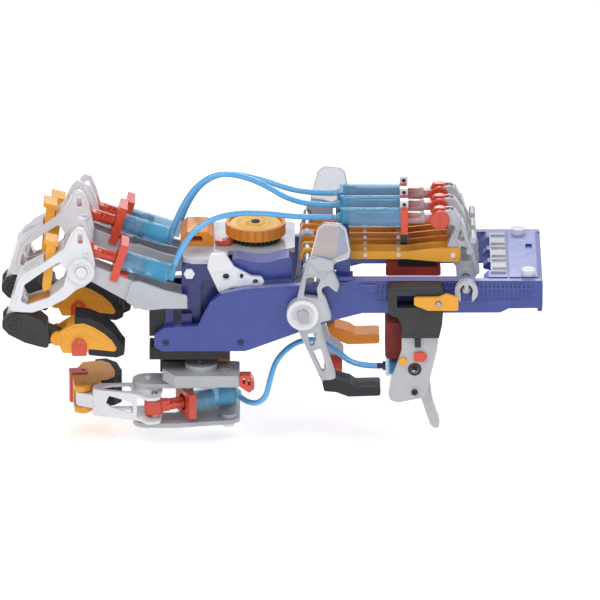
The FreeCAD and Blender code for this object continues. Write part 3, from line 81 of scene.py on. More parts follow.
# ------------------------------------------------------------------ camera
ELEV = math.radians(21.0)
aim = W(0.0, 0.0, 0.0)
cam_data = bpy.data.cameras.new("camera")
cam_data.lens = 615.0
cam_data.sensor_width = 36.0
cam_data.clip_start = 0.5
cam = bpy.data.objects.new("camera", cam_data)
bpy.context.scene.collection.objects.link(cam)
cam.location = aim + 8.0 * Vector((0.0, -math.cos(ELEV), math.sin(ELEV)))
cam.rotation_euler = (math.pi / 2 - ELEV, 0.0, 0.0)
bpy.context.scene.camera = cam


# --------------------------------------------------------------- materials
def new_mat(name):
    m = bpy.data.materials.new(name)
    m.use_nodes = True
    m.node_tree.nodes.clear()
    return m


class Tree:
    def __init__(self, mat):
        self.t = mat.node_tree

    def n(self, kind, **sets):
        node = self.t.nodes.new(kind)
        for k, v in sets.items():
            setattr(node, k, v)
        return node

    def l(self, a, b):
        self.t.links.new(a, b)


def mix_rgb(T, fac, a, b, blend="MIX"):
    m = T.n("ShaderNodeMix", data_type="RGBA", blend_type=blend)
    if isinstance(fac, float):
        m.inputs[0].default_value = fac
    else:
        T.l(fac, m.inputs[0])
    for sock, v in ((m.inputs[6], a), (m.inputs[7], b)):
        if isinstance(v, tuple):
            sock.default_value = (v[0], v[1], v[2], 1.0)
        else:
            T.l(v, sock)
    return m.outputs[2]


def ramp(T, src, stops):
    r = T.n("ShaderNodeValToRGB")
    e = r.color_ramp.elements
    e[0].position, e[0].color = stops[0][0], (stops[0][1],) * 3 + (1,)
    e[1].position, e[1].color = stops[1][0], (stops[1][1],) * 3 + (1,)
    T.l(src, r.inputs[0])
    return r.outputs[0]


def remap(T, src, a, b, lo=0.0, hi=1.0):
    m = T.n("ShaderNodeMapRange")
    m.inputs[1].default_value, m.inputs[2].default_value = lo, hi
    m.inputs[3].default_value, m.inputs[4].default_value = a, b
    T.l(src, m.inputs[0])
    return m.outputs[0]


def moulded(name, color, rough=0.34, var=0.10, grain=0.05, coat=0.25, edge=0.35, edge_wear_and_painted_highlight=None, sss=0.0,
            transmission=0.0, ior=1.46, grain_scale=2600.0, alpha=1.0, round_mm=0.45, flow=0.5):
    """Moulded plastic: mottled pigment, flow lines, fine texture, lighter edges that are partly rubbed wear and partly
    a painted edge highlight.
    """
    m = new_mat(name)
    T = Tree(m)
    out = T.n("ShaderNodeOutputMaterial")
    bsdf = T.n("ShaderNodeBsdfPrincipled")
    T.l(bsdf.outputs[0], out.inputs[0])
    tc = T.n("ShaderNodeTexCoord")
    obj = tc.outputs["Object"]
    wide = T.n("ShaderNodeTexNoise")
    wide.inputs["Scale"].default_value = 38.0
    wide.inputs["Detail"].default_value = 4.0
    wide.inputs["Roughness"].default_value = 0.6
    T.l(obj, wide.inputs["Vector"])
    dark = tuple(c * (1 - var) for c in color)
    light = tuple(min(1.0, c * (1 + var) + 0.01 * var) for c in color)
    base = mix_rgb(T, remap(T, wide.outputs[0], 0.0, 1.0, 0.3, 0.7), dark, light)
    # flow marks: stretched faint streaks
    stretch = T.n("ShaderNodeMapping")
    stretch.inputs["Scale"].default_value = (14.0, 60.0, 190.0)
    T.l(obj, stretch.inputs["Vector"])
    streak = T.n("ShaderNodeTexNoise")
    streak.inputs["Scale"].default_value = 1.0
    streak.inputs["Detail"].default_value = 3.0
    T.l(stretch.outputs[0], streak.inputs["Vector"])
    base = mix_rgb(T, remap(T, streak.outputs[0], 0.0, flow * 0.35, 0.45, 0.8), base, light)
    # lighter edges: partly rubbed wear, partly a painted edge highlight
    bev = T.n("ShaderNodeBevel")
    bev.samples = 4
    bev.inputs["Radius"].default_value = round_mm / 1000.0
    geo = T.n("ShaderNodeNewGeometry")
    dot = T.n("ShaderNodeVectorMath", operation="DOT_PRODUCT")
    T.l(bev.outputs[0], dot.inputs[0])
    T.l(geo.outputs["Normal"], dot.inputs[1])
    scuff = T.n("ShaderNodeTexNoise")
    scuff.inputs["Scale"].default_value = 420.0
    scuff.inputs["Detail"].default_value = 3.0
    T.l(obj, scuff.inputs["Vector"])
    wear_and_highlight_mask = T.n("ShaderNodeMath", operation="MULTIPLY")
    T.l(remap(T, dot.outputs["Value"], 1.0, 0.0, 0.86, 0.995), wear_and_highlight_mask.inputs[0])
    T.l(remap(T, scuff.outputs[0], 0.25, 1.0, 0.35, 0.6), wear_and_highlight_mask.inputs[1])
    wear_and_highlight_amount = T.n("ShaderNodeMath", operation="MULTIPLY")
    T.l(wear_and_highlight_mask.outputs[0], wear_and_highlight_amount.inputs[0])
    wear_and_highlight_amount.inputs[1].default_value = edge
    edge_wear_and_painted_highlight = edge_wear_and_painted_highlight or tuple(min(1.0, c * 1.25 + 0.10) for c in color)
    base = mix_rgb(T, wear_and_highlight_amount.outputs[0], base, edge_wear_and_painted_highlight)
    T.l(base, bsdf.inputs["Base Color"])
    # roughness: texture plus smudges
    smudge = T.n("ShaderNodeTexNoise")
    smudge.inputs["Scale"].default_value = 95.0
    smudge.inputs["Detail"].default_value = 5.0
    smudge.inputs["Distortion"].default_value = 0.6
    T.l(obj, smudge.inputs["Vector"])
    T.l(remap(T, smudge.outputs[0], max(0.03, rough - 0.10), rough + 0.14, 0.3, 0.7), bsdf.inputs["Roughness"])
    # fine spark texture
    fine = T.n("ShaderNodeTexNoise")
    fine.inputs["Scale"].default_value = grain_scale
    fine.inputs["Detail"].default_value = 2.0
    T.l(obj, fine.inputs["Vector"])
    bump = T.n("ShaderNodeBump")
    bump.inputs["Strength"].default_value = grain
    bump.inputs["Distance"].default_value = 0.0004
    T.l(fine.outputs[0], bump.inputs["Height"])
    T.l(bev.outputs[0], bump.inputs["Normal"])
    sink = T.n("ShaderNodeBump")
    sink.inputs["Strength"].default_value = 0.10
    sink.inputs["Distance"].default_value = 0.002
    T.l(wide.outputs[0], sink.inputs["Height"])
    T.l(bump.outputs[0], sink.inputs["Normal"])
    T.l(sink.outputs[0], bsdf.inputs["Normal"])
    bsdf.inputs["Coat Weight"].default_value = coat
    bsdf.inputs["Coat Roughness"].default_value = 0.12
    bsdf.inputs["IOR"].default_value = ior
    if sss:
        bsdf.inputs["Subsurface Weight"].default_value = sss
        bsdf.inputs["Subsurface Radius"].default_value = (0.004, 0.003, 0.002)
        bsdf.inputs["Subsurface Scale"].default_value = 0.4
    if transmission:
        bsdf.inputs["Transmission Weight"].default_value = transmission
    if alpha < 1.0:
        bsdf.inputs["Alpha"].default_value = alpha
    m.diffuse_color = (color[0], color[1], color[2], 1.0)
    return m


def rubbery(name, color, rough=0.62, ribs=0.0, rib_scale=900.0, rib_axis=0, coat=0.0):
    m = moulded(name, color, rough=rough, var=0.22, grain=0.25, coat=coat, edge=0.5, grain_scale=1500.0, flow=0.2,
                edge_wear_and_painted_highlight=tuple(min(1, c + 0.05) for c in color))
    if ribs:
        T = Tree(m)
        nodes = m.node_tree.nodes
        bsdf = [n for n in nodes if n.type == "BSDF_PRINCIPLED"][0]
        old = bsdf.inputs["Normal"].links[0].from_socket
        tc = T.n("ShaderNodeTexCoord")
        wave = T.n("ShaderNodeTexWave", wave_type="BANDS", bands_direction=("X", "Y", "Z")[rib_axis])
        wave.inputs["Scale"].default_value = rib_scale
        wave.inputs["Distortion"].default_value = 0.3
        T.l(tc.outputs["Object"], wave.inputs["Vector"])
        b = T.n("ShaderNodeBump")
        b.inputs["Strength"].default_value = ribs
        b.inputs["Distance"].default_value = 0.0008
        T.l(wave.outputs[0], b.inputs["Height"])
        T.l(old, b.inputs["Normal"])
        T.l(b.outputs[0], bsdf.inputs["Normal"])
    return m


BLUE = moulded("blue_shell", (0.035, 0.060, 0.300), rough=0.30, coat=0.5, edge_wear_and_painted_highlight=(0.30, 0.34, 0.68), edge=0.55)
NAVY = moulded("navy_shell", (0.012, 0.016, 0.085), rough=0.34, coat=0.35, edge_wear_and_painted_highlight=(0.12, 0.14, 0.34), edge=0.5)
# lighter lavender blue for the upward faces of the blue parts: a painted highlight where light falls on the tops
BLUE_PAINTED_TOP_LIGHT = moulded("blue_painted_top_highlight", (0.23, 0.26, 0.56), rough=0.38, coat=0.3, edge_wear_and_painted_highlight=(0.55, 0.58, 0.85), edge=0.4)
PALM = moulded("palm_blue", (0.020, 0.030, 0.17), rough=0.32, coat=0.4, edge_wear_and_painted_highlight=(0.20, 0.23, 0.55), edge=0.55)
WHITE = moulded("white_shell", (0.80, 0.80, 0.83), rough=0.32, var=0.05, coat=0.35, edge_wear_and_painted_highlight=(0.95, 0.95, 0.96), sss=0.06)
LGREY = moulded("light_grey_truss", (0.50, 0.51, 0.54), rough=0.36, var=0.07, coat=0.25, edge_wear_and_painted_highlight=(0.86, 0.87, 0.90), edge=0.6)
MGREY = moulded("mid_grey_block", (0.46, 0.47, 0.49), rough=0.42, var=0.08, coat=0.15, edge_wear_and_painted_highlight=(0.60, 0.61, 0.64), edge=0.5)
DGREY = moulded("dark_grey_case", (0.042, 0.042, 0.042), rough=0.46, var=0.16, coat=0.06, edge_wear_and_painted_highlight=(0.22, 0.22, 0.23), edge=0.5)
BLACK = moulded("black_case", (0.012, 0.012, 0.014), rough=0.38, var=0.2, coat=0.25, edge_wear_and_painted_highlight=(0.12, 0.12, 0.13), edge=0.5)
YELLOW = moulded("yellow_shell", (0.88, 0.40, 0.045), rough=0.38, var=0.07, coat=0.08, edge_wear_and_painted_highlight=(1.0, 0.68, 0.25), sss=0.08)
ORANGE = moulded("orange_shell", (0.78, 0.27, 0.030), rough=0.38, var=0.08, coat=0.08, edge_wear_and_painted_highlight=(0.98, 0.55, 0.18), sss=0.05)
AMBER = moulded("amber_dial_face", (0.92, 0.52, 0.10), rough=0.42, var=0.06, coat=0.05, edge_wear_and_painted_highlight=(1.0, 0.74, 0.35))
RED = moulded("red_shell", (0.68, 0.075, 0.035), rough=0.33, var=0.08, coat=0.35, edge_wear_and_painted_highlight=(0.92, 0.26, 0.16), sss=0.06)
SEAL = rubbery("dark_red_seal", (0.34, 0.010, 0.014), rough=0.38, coat=0.2)
SILVER = moulded("silver_plate", (0.50, 0.50, 0.515), rough=0.30, var=0.06, coat=0.45, edge_wear_and_painted_highlight=(0.80, 0.80, 0.82), edge=0.5)
STEEL = moulded("steel_pin", (0.42, 0.42, 0.44), rough=0.24, var=0.05, coat=0.0, grain=0.02, edge_wear_and_painted_highlight=(0.75, 0.75, 0.77))
for node in STEEL.node_tree.nodes:
    if node.type == "BSDF_PRINCIPLED":
        node.inputs["Metallic"].default_value = 1.0
PADR = rubbery("black_pad_rubber", (0.016, 0.016, 0.018), rough=0.55, ribs=0.55, rib_scale=260.0, rib_axis=1)
GRIPR = rubbery("dark_red_grip_rubber", (0.20, 0.018, 0.014), rough=0.6, ribs=0.5, rib_scale=170.0, rib_axis=2)
CLEAR = moulded("clear_blue_barrel", (0.07, 0.50, 0.80), rough=0.12, var=0.10, coat=0.8, grain=0.01, edge=0.7, edge_wear_and_painted_highlight=(0.60, 0.90, 1.0), alpha=0.37)
HOSE = moulded("blue_hose", (0.13, 0.47, 0.86), rough=0.20, var=0.07, coat=0.7, grain=0.02, edge=0.0, sss=0.15)
SMOKE = moulded("smoked_lever", (0.60, 0.62, 0.68), rough=0.22, var=0.05, coat=0.5, grain=0.02, edge=0.8, edge_wear_and_painted_highlight=(0.95, 0.96, 1.0), alpha=0.42)
PINK = moulded("faded_rod", (0.56, 0.36, 0.36), rough=0.25, var=0.08, coat=0.6, edge=0.6, edge_wear_and_painted_highlight=(0.85, 0.75, 0.76), alpha=0.85)


for _m, _v in ((YELLOW, 0.30), (ORANGE, 0.30), (AMBER, 0.25), (DGREY, 0.35), (BLACK, 0.4)):
    for node in _m.node_tree.nodes:
        if node.type == "BSDF_PRINCIPLED":
            node.inputs["Specular IOR Level"].default_value = _v


# -------------------------------------------------------------------- hoses
def hose(name, points):
    cu = bpy.data.curves.new(name, "CURVE")
    cu.dimensions = "3D"
    cu.bevel_depth = 0.00225
    cu.bevel_resolution = 6
    cu.resolution_u = 24
    cu.use_fill_caps = True
    sp = cu.splines.new("NURBS")
    sp.points.add(len(points) - 1)
    for k, p in enumerate(points):
        sp.points[k].co = (p[0], p[1], p[2], 1.0)
    sp.order_u = 3
    sp.use_endpoint_u = True
    ob = bpy.data.objects.new(name + "_tube", cu)
    bpy.context.scene.collection.objects.link(ob)
    cu.materials.append(HOSE)
    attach(ob, "frame")
    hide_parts(name)
    return ob


hose("hose_1", [W(-96.752, -45.0, 47.053), W(-92.735, -45.0, 59.416), W(-79.0, -41.0, 77.0), W(-57.0, -35.0, 85.0),
                W(-29.0, -30.0, 84.0), W(0.0, -27.0, 79.0), W(24.5, -27.0, 79.0)])
hose("hose_2", [W(-98.252, 0.0, 60.753), W(-93.617, 0.0, 75.018), W(-80.0, 1.5, 96.0), W(-61.0, -1.0, 107.0),
                W(-33.0, 0.5, 99.5), W(-2.0, 0.0, 79.0), W(24.5, 0.0, 79.0)])
hose("hose_3", [W(-93.252, 45.0, 49.253), W(-88.617, 45.0, 63.518), W(-76.0, 42.5, 83.0), W(-58.0, 39.0, 92.0),
                W(-30.0, 34.0, 88.0), W(0.0, 27.0, 79.0), W(24.5, 27.0, 79.0)])
hose("hose_thumb", [W(-46.371, -21.166, -73.0), W(-41.897, -31.215, -73.0), W(-33.3, -38.0, -72.1), W(-26.3, -41.8, -64.6),
                    W(-23.5, -40.4, -51.0), W(-18.0, -37.0, -34.0), W(-3.0, -34.0, -21.5), W(13.0, -32.0, -20.0),
                    W(27.0, -36.5, -26.5), W(42.0, -48.0, -36.3), W(60.0, -48.0, -36.3)])


# --------------------------------------------------- carried-over CAD pieces
def islands(me):
    """Polygon lists of the mesh's separate solids, welding equal positions."""
    key, parent = {}, list(range(len(me.vertices)))

    def find(a):
        while parent[a] != a:
            parent[a] = parent[parent[a]]
            a = parent[a]
        return a

    for v in me.vertices:
        k = (round(v.co.x, 6), round(v.co.y, 6), round(v.co.z, 6))
        if k in key:
            parent[find(v.index)] = find(key[k])
        else:
            key[k] = v.index
    for p in me.polygons:
        a = find(p.vertices[0])
        for b in p.vertices[1:]:
            parent[find(b)] = a
    out = {}
    for p in me.polygons:
        out.setdefault(find(p.vertices[0]), []).append(p)
    return list(out.values())


def span(me, polys):
    vs = {i for p in polys for i in p.vertices}
    lo = [min(me.vertices[i].co[k] for i in vs) for k in range(3)]
    hi = [max(me.vertices[i].co[k] for i in vs) for k in range(3)]
    # drafting millimetres
    return ([lo[0] * 1000 + 88, lo[1] * 1000, lo[2] * 1000 + 28], [hi[0] * 1000 + 88, hi[1] * 1000, hi[2] * 1000 + 28])


def paint(node, mats, by_piece=None, by_face=None):
    """Materials of a CAD node, chosen per solid and per face (drafting mm)."""
    ob = NODES[node]
    me = ob.data
    me.materials.clear()
    for m in mats:
        me.materials.append(m)
    if by_piece or by_face:
        for polys in islands(me):
            lo, hi = span(me, polys)
            k = by_piece(lo, hi) if by_piece else 0
            for p in polys:
                p.material_index = k
                if by_face:
                    c = p.center
                    f = by_face((c.x * 1000 + 88, c.y * 1000, c.z * 1000 + 28), p.normal, k)
                    if f is not None:
                        p.material_index = f
    else:
        for p in me.polygons:
            p.material_index = 0


ROWS = {1: -27.0, 2: 0.0, 3: 27.0}
FING = {1: (-169.3, -45.0, 46.3), 2: (-170.8, 0.0, 60.0), 3: (-165.8, 45.0, 48.5)}

# upward faces of the side arms take the lighter blue: painted highlight on the lit tops
paint("side_arms", [BLUE, BLUE_PAINTED_TOP_LIGHT], None, lambda c, n, k: 1 if (n.z > 0.55 and c[2] > 26.0) else None)
# the rear bridge takes the lighter blue on its upward faces and plain blue on its sides: painted highlight on the lit
# top
paint("frame_bridges", [BLUE_PAINTED_TOP_LIGHT, NAVY, BLACK, BLUE], lambda lo, hi: 0 if lo[0] > 130 else (1 if hi[0] < 60 else 2),
      lambda c, n, k: (3 if (k == 0 and n.z < 0.3) else 3 if (k == 1 and abs(c[1]) > 43.5) else None))
paint("rear_panel", [LGREY])
# the blue pod's upward faces near the front take the lighter blue: painted highlight on its lit top
paint("palm_housing", [PALM, BLUE, BLUE_PAINTED_TOP_LIGHT], lambda lo, hi: 1 if lo[0] > -54 else 0, lambda c, n, k: 2 if (k == 1 and n.z > 0.75 and c[1] < -30) else None)
paint("palm_base", [BLACK])
paint("top_plate", [LGREY, WHITE], lambda lo, hi: 1 if hi[1] < -46.2 else 0)
paint("front_clamp", [ORANGE])
paint("finger_cradles", [LGREY])
paint("thumb_base", [MGREY, RED], lambda lo, hi: 1 if hi[0] - lo[0] < 13 else 0)


def barrel_face(c, n, k):
    # outlets and end blocks of the slave barrels, necks of the masters
    if c[2] > 60 and c[0] > 0:
        return 1 if c[0] < 31.05 else None
    if c[2] > 20:
        f = min(FING.values(), key=lambda p: abs(p[1] - c[1]))
        o = (f[0] + 32.2, f[2] + 4.4)
        s = (c[0] - o[0]) * 0.9511 - (c[2] - o[1]) * 0.3090
        return 1 if s > 37.2 else None
    return 1 if c[0] > -54.5 else None


ELBOW = moulded("elbow_blue", (0.10, 0.48, 0.76), rough=0.15, var=0.1, coat=0.8, edge=0.8, edge_wear_and_painted_highlight=(0.80, 0.95, 1.0), alpha=0.62)
paint("syringe_barrels", [CLEAR, ELBOW], None, barrel_face)
paint("syringe_clamps", [RED])
paint("fasteners", [WHITE, STEEL, LGREY, NAVY],
      lambda lo, hi: (2 if (lo[0] > 110 and hi[0] < 145 and lo[2] < 30) else
                      1 if (hi[1] - lo[1] > 100) else 0),
      lambda c, n, k: (1 if (k == 2 and abs(c[1]) < 58.2) else 3 if (c[2] > 88.2 and n.y < -0.5 and c[1] % 27 != 0 and
                                                                     min(abs(c[1] - y + 4.2) for y in ROWS.values()) < 0.15) else None))
# the gear under the dial rim is painted dark grey: painted shade, since the dial and its gear teeth are one piece
paint("dial", [ORANGE, AMBER, DGREY], None,
      lambda c, n, k: 2 if c[2] < 56.6 else (1 if math.hypot(c[0] + 34.6, c[1]) < 20.5 and c[2] < 64.3 and c[2] > 63.5 and n.z > 0.9 else None))
paint("dial_pawl", [RED])
paint("wrist_pad", [GRIPR])

for i, f in FING.items():
    t = "finger_%d_" % i
    paint(t + "proximal", [WHITE, STEEL], None,
          lambda c, n, k, f=f: 1 if math.hypot(c[0] - f[0] - 3.9, c[2] - f[2] - 13.6) < 2.1 and abs(c[1] - f[1]) < 9.4 else None)
    paint(t + "lock", [YELLOW])
    paint(t + "middle", [DGREY])
    paint(t + "tip", [YELLOW, RED], lambda lo, hi, f=f: 1 if hi[1] - f[1] > 11.5 else 0)
    paint(t + "pad", [PADR])
    paint(t + "rod", [RED, SEAL], lambda lo, hi: 1 if hi[0] - lo[0] < 12 else 0)
    paint("master_%d_rod" % i, [RED, SEAL, PINK], lambda lo, hi: 1 if hi[0] - lo[0] < 12 else 0,
          lambda c, n, k: 2 if 84.0 < c[0] < 100.0 else None)
    y = ROWS[i]
    paint("rocker_%d" % i, [LGREY, RED], None,
          lambda c, n, k: 1 if math.hypot(c[0] - 108.4, c[2] - 79.0) < 7.7 else None)
    # link 1 in front gets yellow and links 2 and 3 behind get orange: painted shade, lit and shaded copies of one
    # plastic
    paint("link_%d" % i, [(YELLOW, ORANGE, ORANGE)[i - 1], WHITE], None,
          lambda c, n, k, y=y: 1 if (abs(c[1] - y) < 5.7 or abs(c[1] - y) > 8.0) else None)

paint("input_lever_1", [LGREY, BLACK, SMOKE, WHITE, STEEL], None,
      lambda c, n, k: (1 if (c[2] < -39.9 and (c[0] > 17 or c[1] > -58)) else
                       2 if c[2] > 60.5 and c[1] < -58 else
                       4 if c[1] > -58.7 and c[2] > 40 else
                       3 if math.hypot(c[0] - 2.3, c[2] - 12.9) < 12.7 and abs(c[1] + 62.5) > 4.2 else None))
paint("input_lever_3", [LGREY, ORANGE, SMOKE, WHITE, STEEL], None,
      lambda c, n, k: (1 if (c[2] < -39.9 and (c[0] > 17 or c[1] < 58)) else
                       2 if c[2] > 60.5 and c[1] > 58 else
                       4 if c[1] < 58.7 and c[2] > 40 else
                       3 if math.hypot(c[0] - 2.3, c[2] - 12.9) < 12.7 and abs(c[1] - 62.5) > 4.2 else None))
paint("input_lever_2", [LGREY, RED], None, lambda c, n, k: 1 if c[2] < -42.4 and math.hypot(c[1], c[2] + 55.0) > 9.9 and abs(c[1]) >= 0 and c[2] < -44.1 else None)

paint("thumb_proximal", [WHITE])
paint("thumb_tip", [YELLOW, RED], lambda lo, hi: 1 if hi[2] - lo[2] > 23 else 0)
paint("thumb_pad", [PADR])
paint("thumb_rod", [RED, SEAL], lambda lo, hi: 1 if hi[0] - lo[0] < 12 else 0)
paint("handle_clamp", [DGREY, STEEL], None, lambda c, n, k: 1 if c[1] < -72.05 else None)
paint("handle_plate", [SILVER, BLACK, YELLOW, RED],
      lambda lo, hi: (0 if hi[2] - lo[2] > 20 else 2 if hi[0] < 84 else 3 if (hi[2] < -15 and lo[2] > -30) else 1))
paint("palm_grip", [GRIPR])
paint("thumb_master_barrel", [CLEAR, RED, NAVY], lambda lo, hi: 1 if lo[0] > 84 else 0, lambda c, n, k: 2 if c[0] < 66.4 else None)
paint("thumb_master_rod", [RED, SEAL], lambda lo, hi: 1 if hi[0] < 76 else 0)
paint("thumb_lever", [SILVER])
paint("handle_latch", [YELLOW])


# ---------------------------------------------------------- added pieces
def add(name, bm, body, mats, smooth=True, bevel=0.0, seg=2, angle=35.0, sub=0):
    me = bpy.data.meshes.new(name)
    bmesh.ops.recalc_face_normals(bm, faces=bm.faces)
    bm.to_mesh(me)
    bm.free()
    ob = bpy.data.objects.new(name, me)
    bpy.context.scene.collection.objects.link(ob)
    for m in (mats if isinstance(mats, (list, tuple)) else [mats]):
        me.materials.append(m)
    for p in me.polygons:
        p.use_smooth = smooth
    if bevel:
        b = ob.modifiers.new("bevel", "BEVEL")
        b.width, b.segments, b.limit_method, b.angle_limit = bevel, seg, "ANGLE", math.radians(angle)
        b.harden_normals = False
    if sub:
        s = ob.modifiers.new("sub", "SUBSURF")
        s.levels = s.render_levels = sub
    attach(ob, body)
    return ob


def frame_of(axis):
    a = Vector(axis).normalized()
    up = Vector((0, 0, 1)) if abs(a.z) < 0.9 else Vector((1, 0, 0))
    u = up.cross(a).normalized()
    v = a.cross(u)
    return Matrix((u, v, a)).transposed()


def lathe(bm, centre, axis, prof, n=40, mat=0):
    """prof: (radius mm, height mm) pairs along the axis; closed at zero radii."""
    M = frame_of(axis)
    rings = []
    for r, h in prof:
        if r <= 1e-6:
            rings.append([bm.verts.new(Vector(centre) + M @ Vector((0, 0, h / 1000)))])
        else:
            rings.append([bm.verts.new(Vector(centre) + M @ Vector((r / 1000 * math.cos(2 * math.pi * k / n),
                                                                    r / 1000 * math.sin(2 * math.pi * k / n), h / 1000)))
                          for k in range(n)])
    for a, b in zip(rings, rings[1:]):
        for k in range(n):
            if len(a) == 1 and len(b) == 1:
                continue
            if len(a) == 1:
                f = bm.faces.new((a[0], b[k], b[(k + 1) % n]))
            elif len(b) == 1:
                f = bm.faces.new((a[k], a[(k + 1) % n], b[0]))
            else:
                f = bm.faces.new((a[k], a[(k + 1) % n], b[(k + 1) % n], b[k]))
            f.material_index = mat


def screw(bm, centre, axis, r, h, mat=0, drive="hex"):
    """Button-head screw with a sunk drive recess."""
    lathe(bm, centre, axis, [(r, 0.0), (r, h * 0.45), (r * 0.93, h * 0.78), (r * 0.72, h), (r * 0.46, h), (r * 0.44, h * 0.35), (0, h * 0.30)],
          n=36, mat=mat)


def slab(bm, lo, hi, mat=0):
    vs = [bm.verts.new(W(x, y, z)) for x in (lo[0], hi[0]) for y in (lo[1], hi[1]) for z in (lo[2], hi[2])]
    for q in ((0, 1, 3, 2), (4, 6, 7, 5), (0, 4, 5, 1), (2, 3, 7, 6), (0, 2, 6, 4), (1, 5, 7, 3)):
        f = bm.faces.new([vs[k] for k in q])
        f.material_index = mat


for i, f in FING.items():
    t = "finger_%d_" % i
    for side, s in (("near", -1.0), ("far", 1.0)):
        bm = bmesh.new()
        # dished cap round the knuckle, a ring groove, and a pin end in the crank ear
        c = W(f[0], f[1] + s * 15.0, f[2])
        lathe(bm, c, (0, s, 0), [(10.4, -0.1), (10.4, 0.5), (9.8, 1.1), (7.6, 1.3), (7.2, 0.6), (5.6, 0.5), (5.3, 0.9), (4.9, 1.0), (4.8, 0.1)], n=48)
        screw(bm, W(f[0] + 3.9, f[1] + s * 12.0, f[2] + 13.6), (0, s, 0), 2.9, 0.9)
        add(t + "cap_" + side, bm, t + "proximal_body", WHITE)
        bm = bmesh.new()
        p = W(f[0] - 53.0, f[1] + s * 12.0, f[2] - 45.1)
        lathe(bm, p, (0, s, 0), [(5.9, -0.4), (5.9, 0.3), (5.4, 0.7), (4.2, 0.8), (4.0, 0.3), (3.2, 0.3), (3.0, 1.0), (1.4, 1.2), (1.3, 0.5), (0, 0.5)], n=44)
        add(t + "pivot_" + side, bm, t + "middle_body", DGREY)
        bm = bmesh.new()
        d = W(f[0] - 19.1, f[1] + s * 11.0, f[2] - 57.6)
        lathe(bm, d, (0, s, 0), [(4.2, -0.3), (4.2, 0.4), (3.8, 0.8), (2.2, 0.9), (2.0, 0.4), (0, 0.4)], n=36)
        add(t + "tip_pivot_" + side, bm, t + "tip_body", YELLOW)

# dial: centre screw, a raised ring and a centre boss on the dished face
bm = bmesh.new()
c = W(-34.6, 0.0, 64.15)
lathe(bm, c, (0, 0, 1), [(20.4, -0.15), (20.4, 0.15), (19.6, 0.35), (18.9, 0.15), (13.0, 0.05), (12.4, 0.45), (11.6, 0.45), (11.0, 0.05), (6.4, 0.0), (6.2, 0.9),
                         (5.6, 1.2), (0, 1.25)], n=72)
add("dial_face", bm, "dial_body", AMBER)
bm = bmesh.new()
screw(bm, W(-34.6, 0.0, 65.4), (0, 0, 1), 3.4, 1.2)
add("dial_screw", bm, "dial_body", DGREY)

# thumb: cap discs and pivots (the thumb's axles stand upright)
T0, TA = Vector((-118.6, -28.0, -73.0)), math.radians(6.0)


def TW(x, zl, h=0.0):
    return W(T0.x + x * math.cos(TA) + zl * math.sin(TA), T0.y + x * math.sin(TA) - zl * math.cos(TA), T0.z + h)


for nm, s in (("top", 1.0), ("low", -1.0)):
    bm = bmesh.new()
    screw(bm, TW(3.9, 13.6, s * 11.0), (0, 0, s), 2.8, 0.8)
    add("thumb_crank_pin_" + nm, bm, "thumb_proximal_body", STEEL)
    bm = bmesh.new()
    lathe(bm, TW(-50.0, -11.0, s * 11.0), (0, 0, s), [(4.9, -0.4), (4.9, 0.3), (4.4, 0.7), (2.6, 0.8), (2.4, 0.3), (0, 0.3)], n=40)
    add("thumb_pivot_" + nm, bm, "thumb_tip_body", YELLOW)


def prism(bm, pts, y0, y1, mat=0, to=W):
    """Closed outline in x, z drawn out along y (drafting mm)."""
    a = [bm.verts.new(to(x, y0, z)) for x, z in pts]
    b = [bm.verts.new(to(x, y1, z)) for x, z in pts]
    n = len(pts)
    for f in [bm.faces.new(a), bm.faces.new(b[::-1])] + [bm.faces.new((a[k], a[(k + 1) % n], b[(k + 1) % n], b[k])) for k in range(n)]:
        f.material_index = mat


def ribs(bm, lines, y, s, w=1.1, h=0.5):
    """Raised straight ribs on a face at y, standing h out of it."""
    for line in lines:
        for (x0, z0), (x1, z1) in zip(line, line[1:]):
            d = Vector((x1 - x0, z1 - z0)).normalized()
            nx, nz = -d.y * w / 2, d.x * w / 2
            ex, ez = d.x * w * 0.4, d.y * w * 0.4
            prism(bm, [(x0 - ex + nx, z0 - ez + nz), (x1 + ex + nx, z1 + ez + nz), (x1 + ex - nx, z1 + ez - nz), (x0 - ex - nx, z0 - ez - nz)],
                  y - s * 0.2, y + s * h)


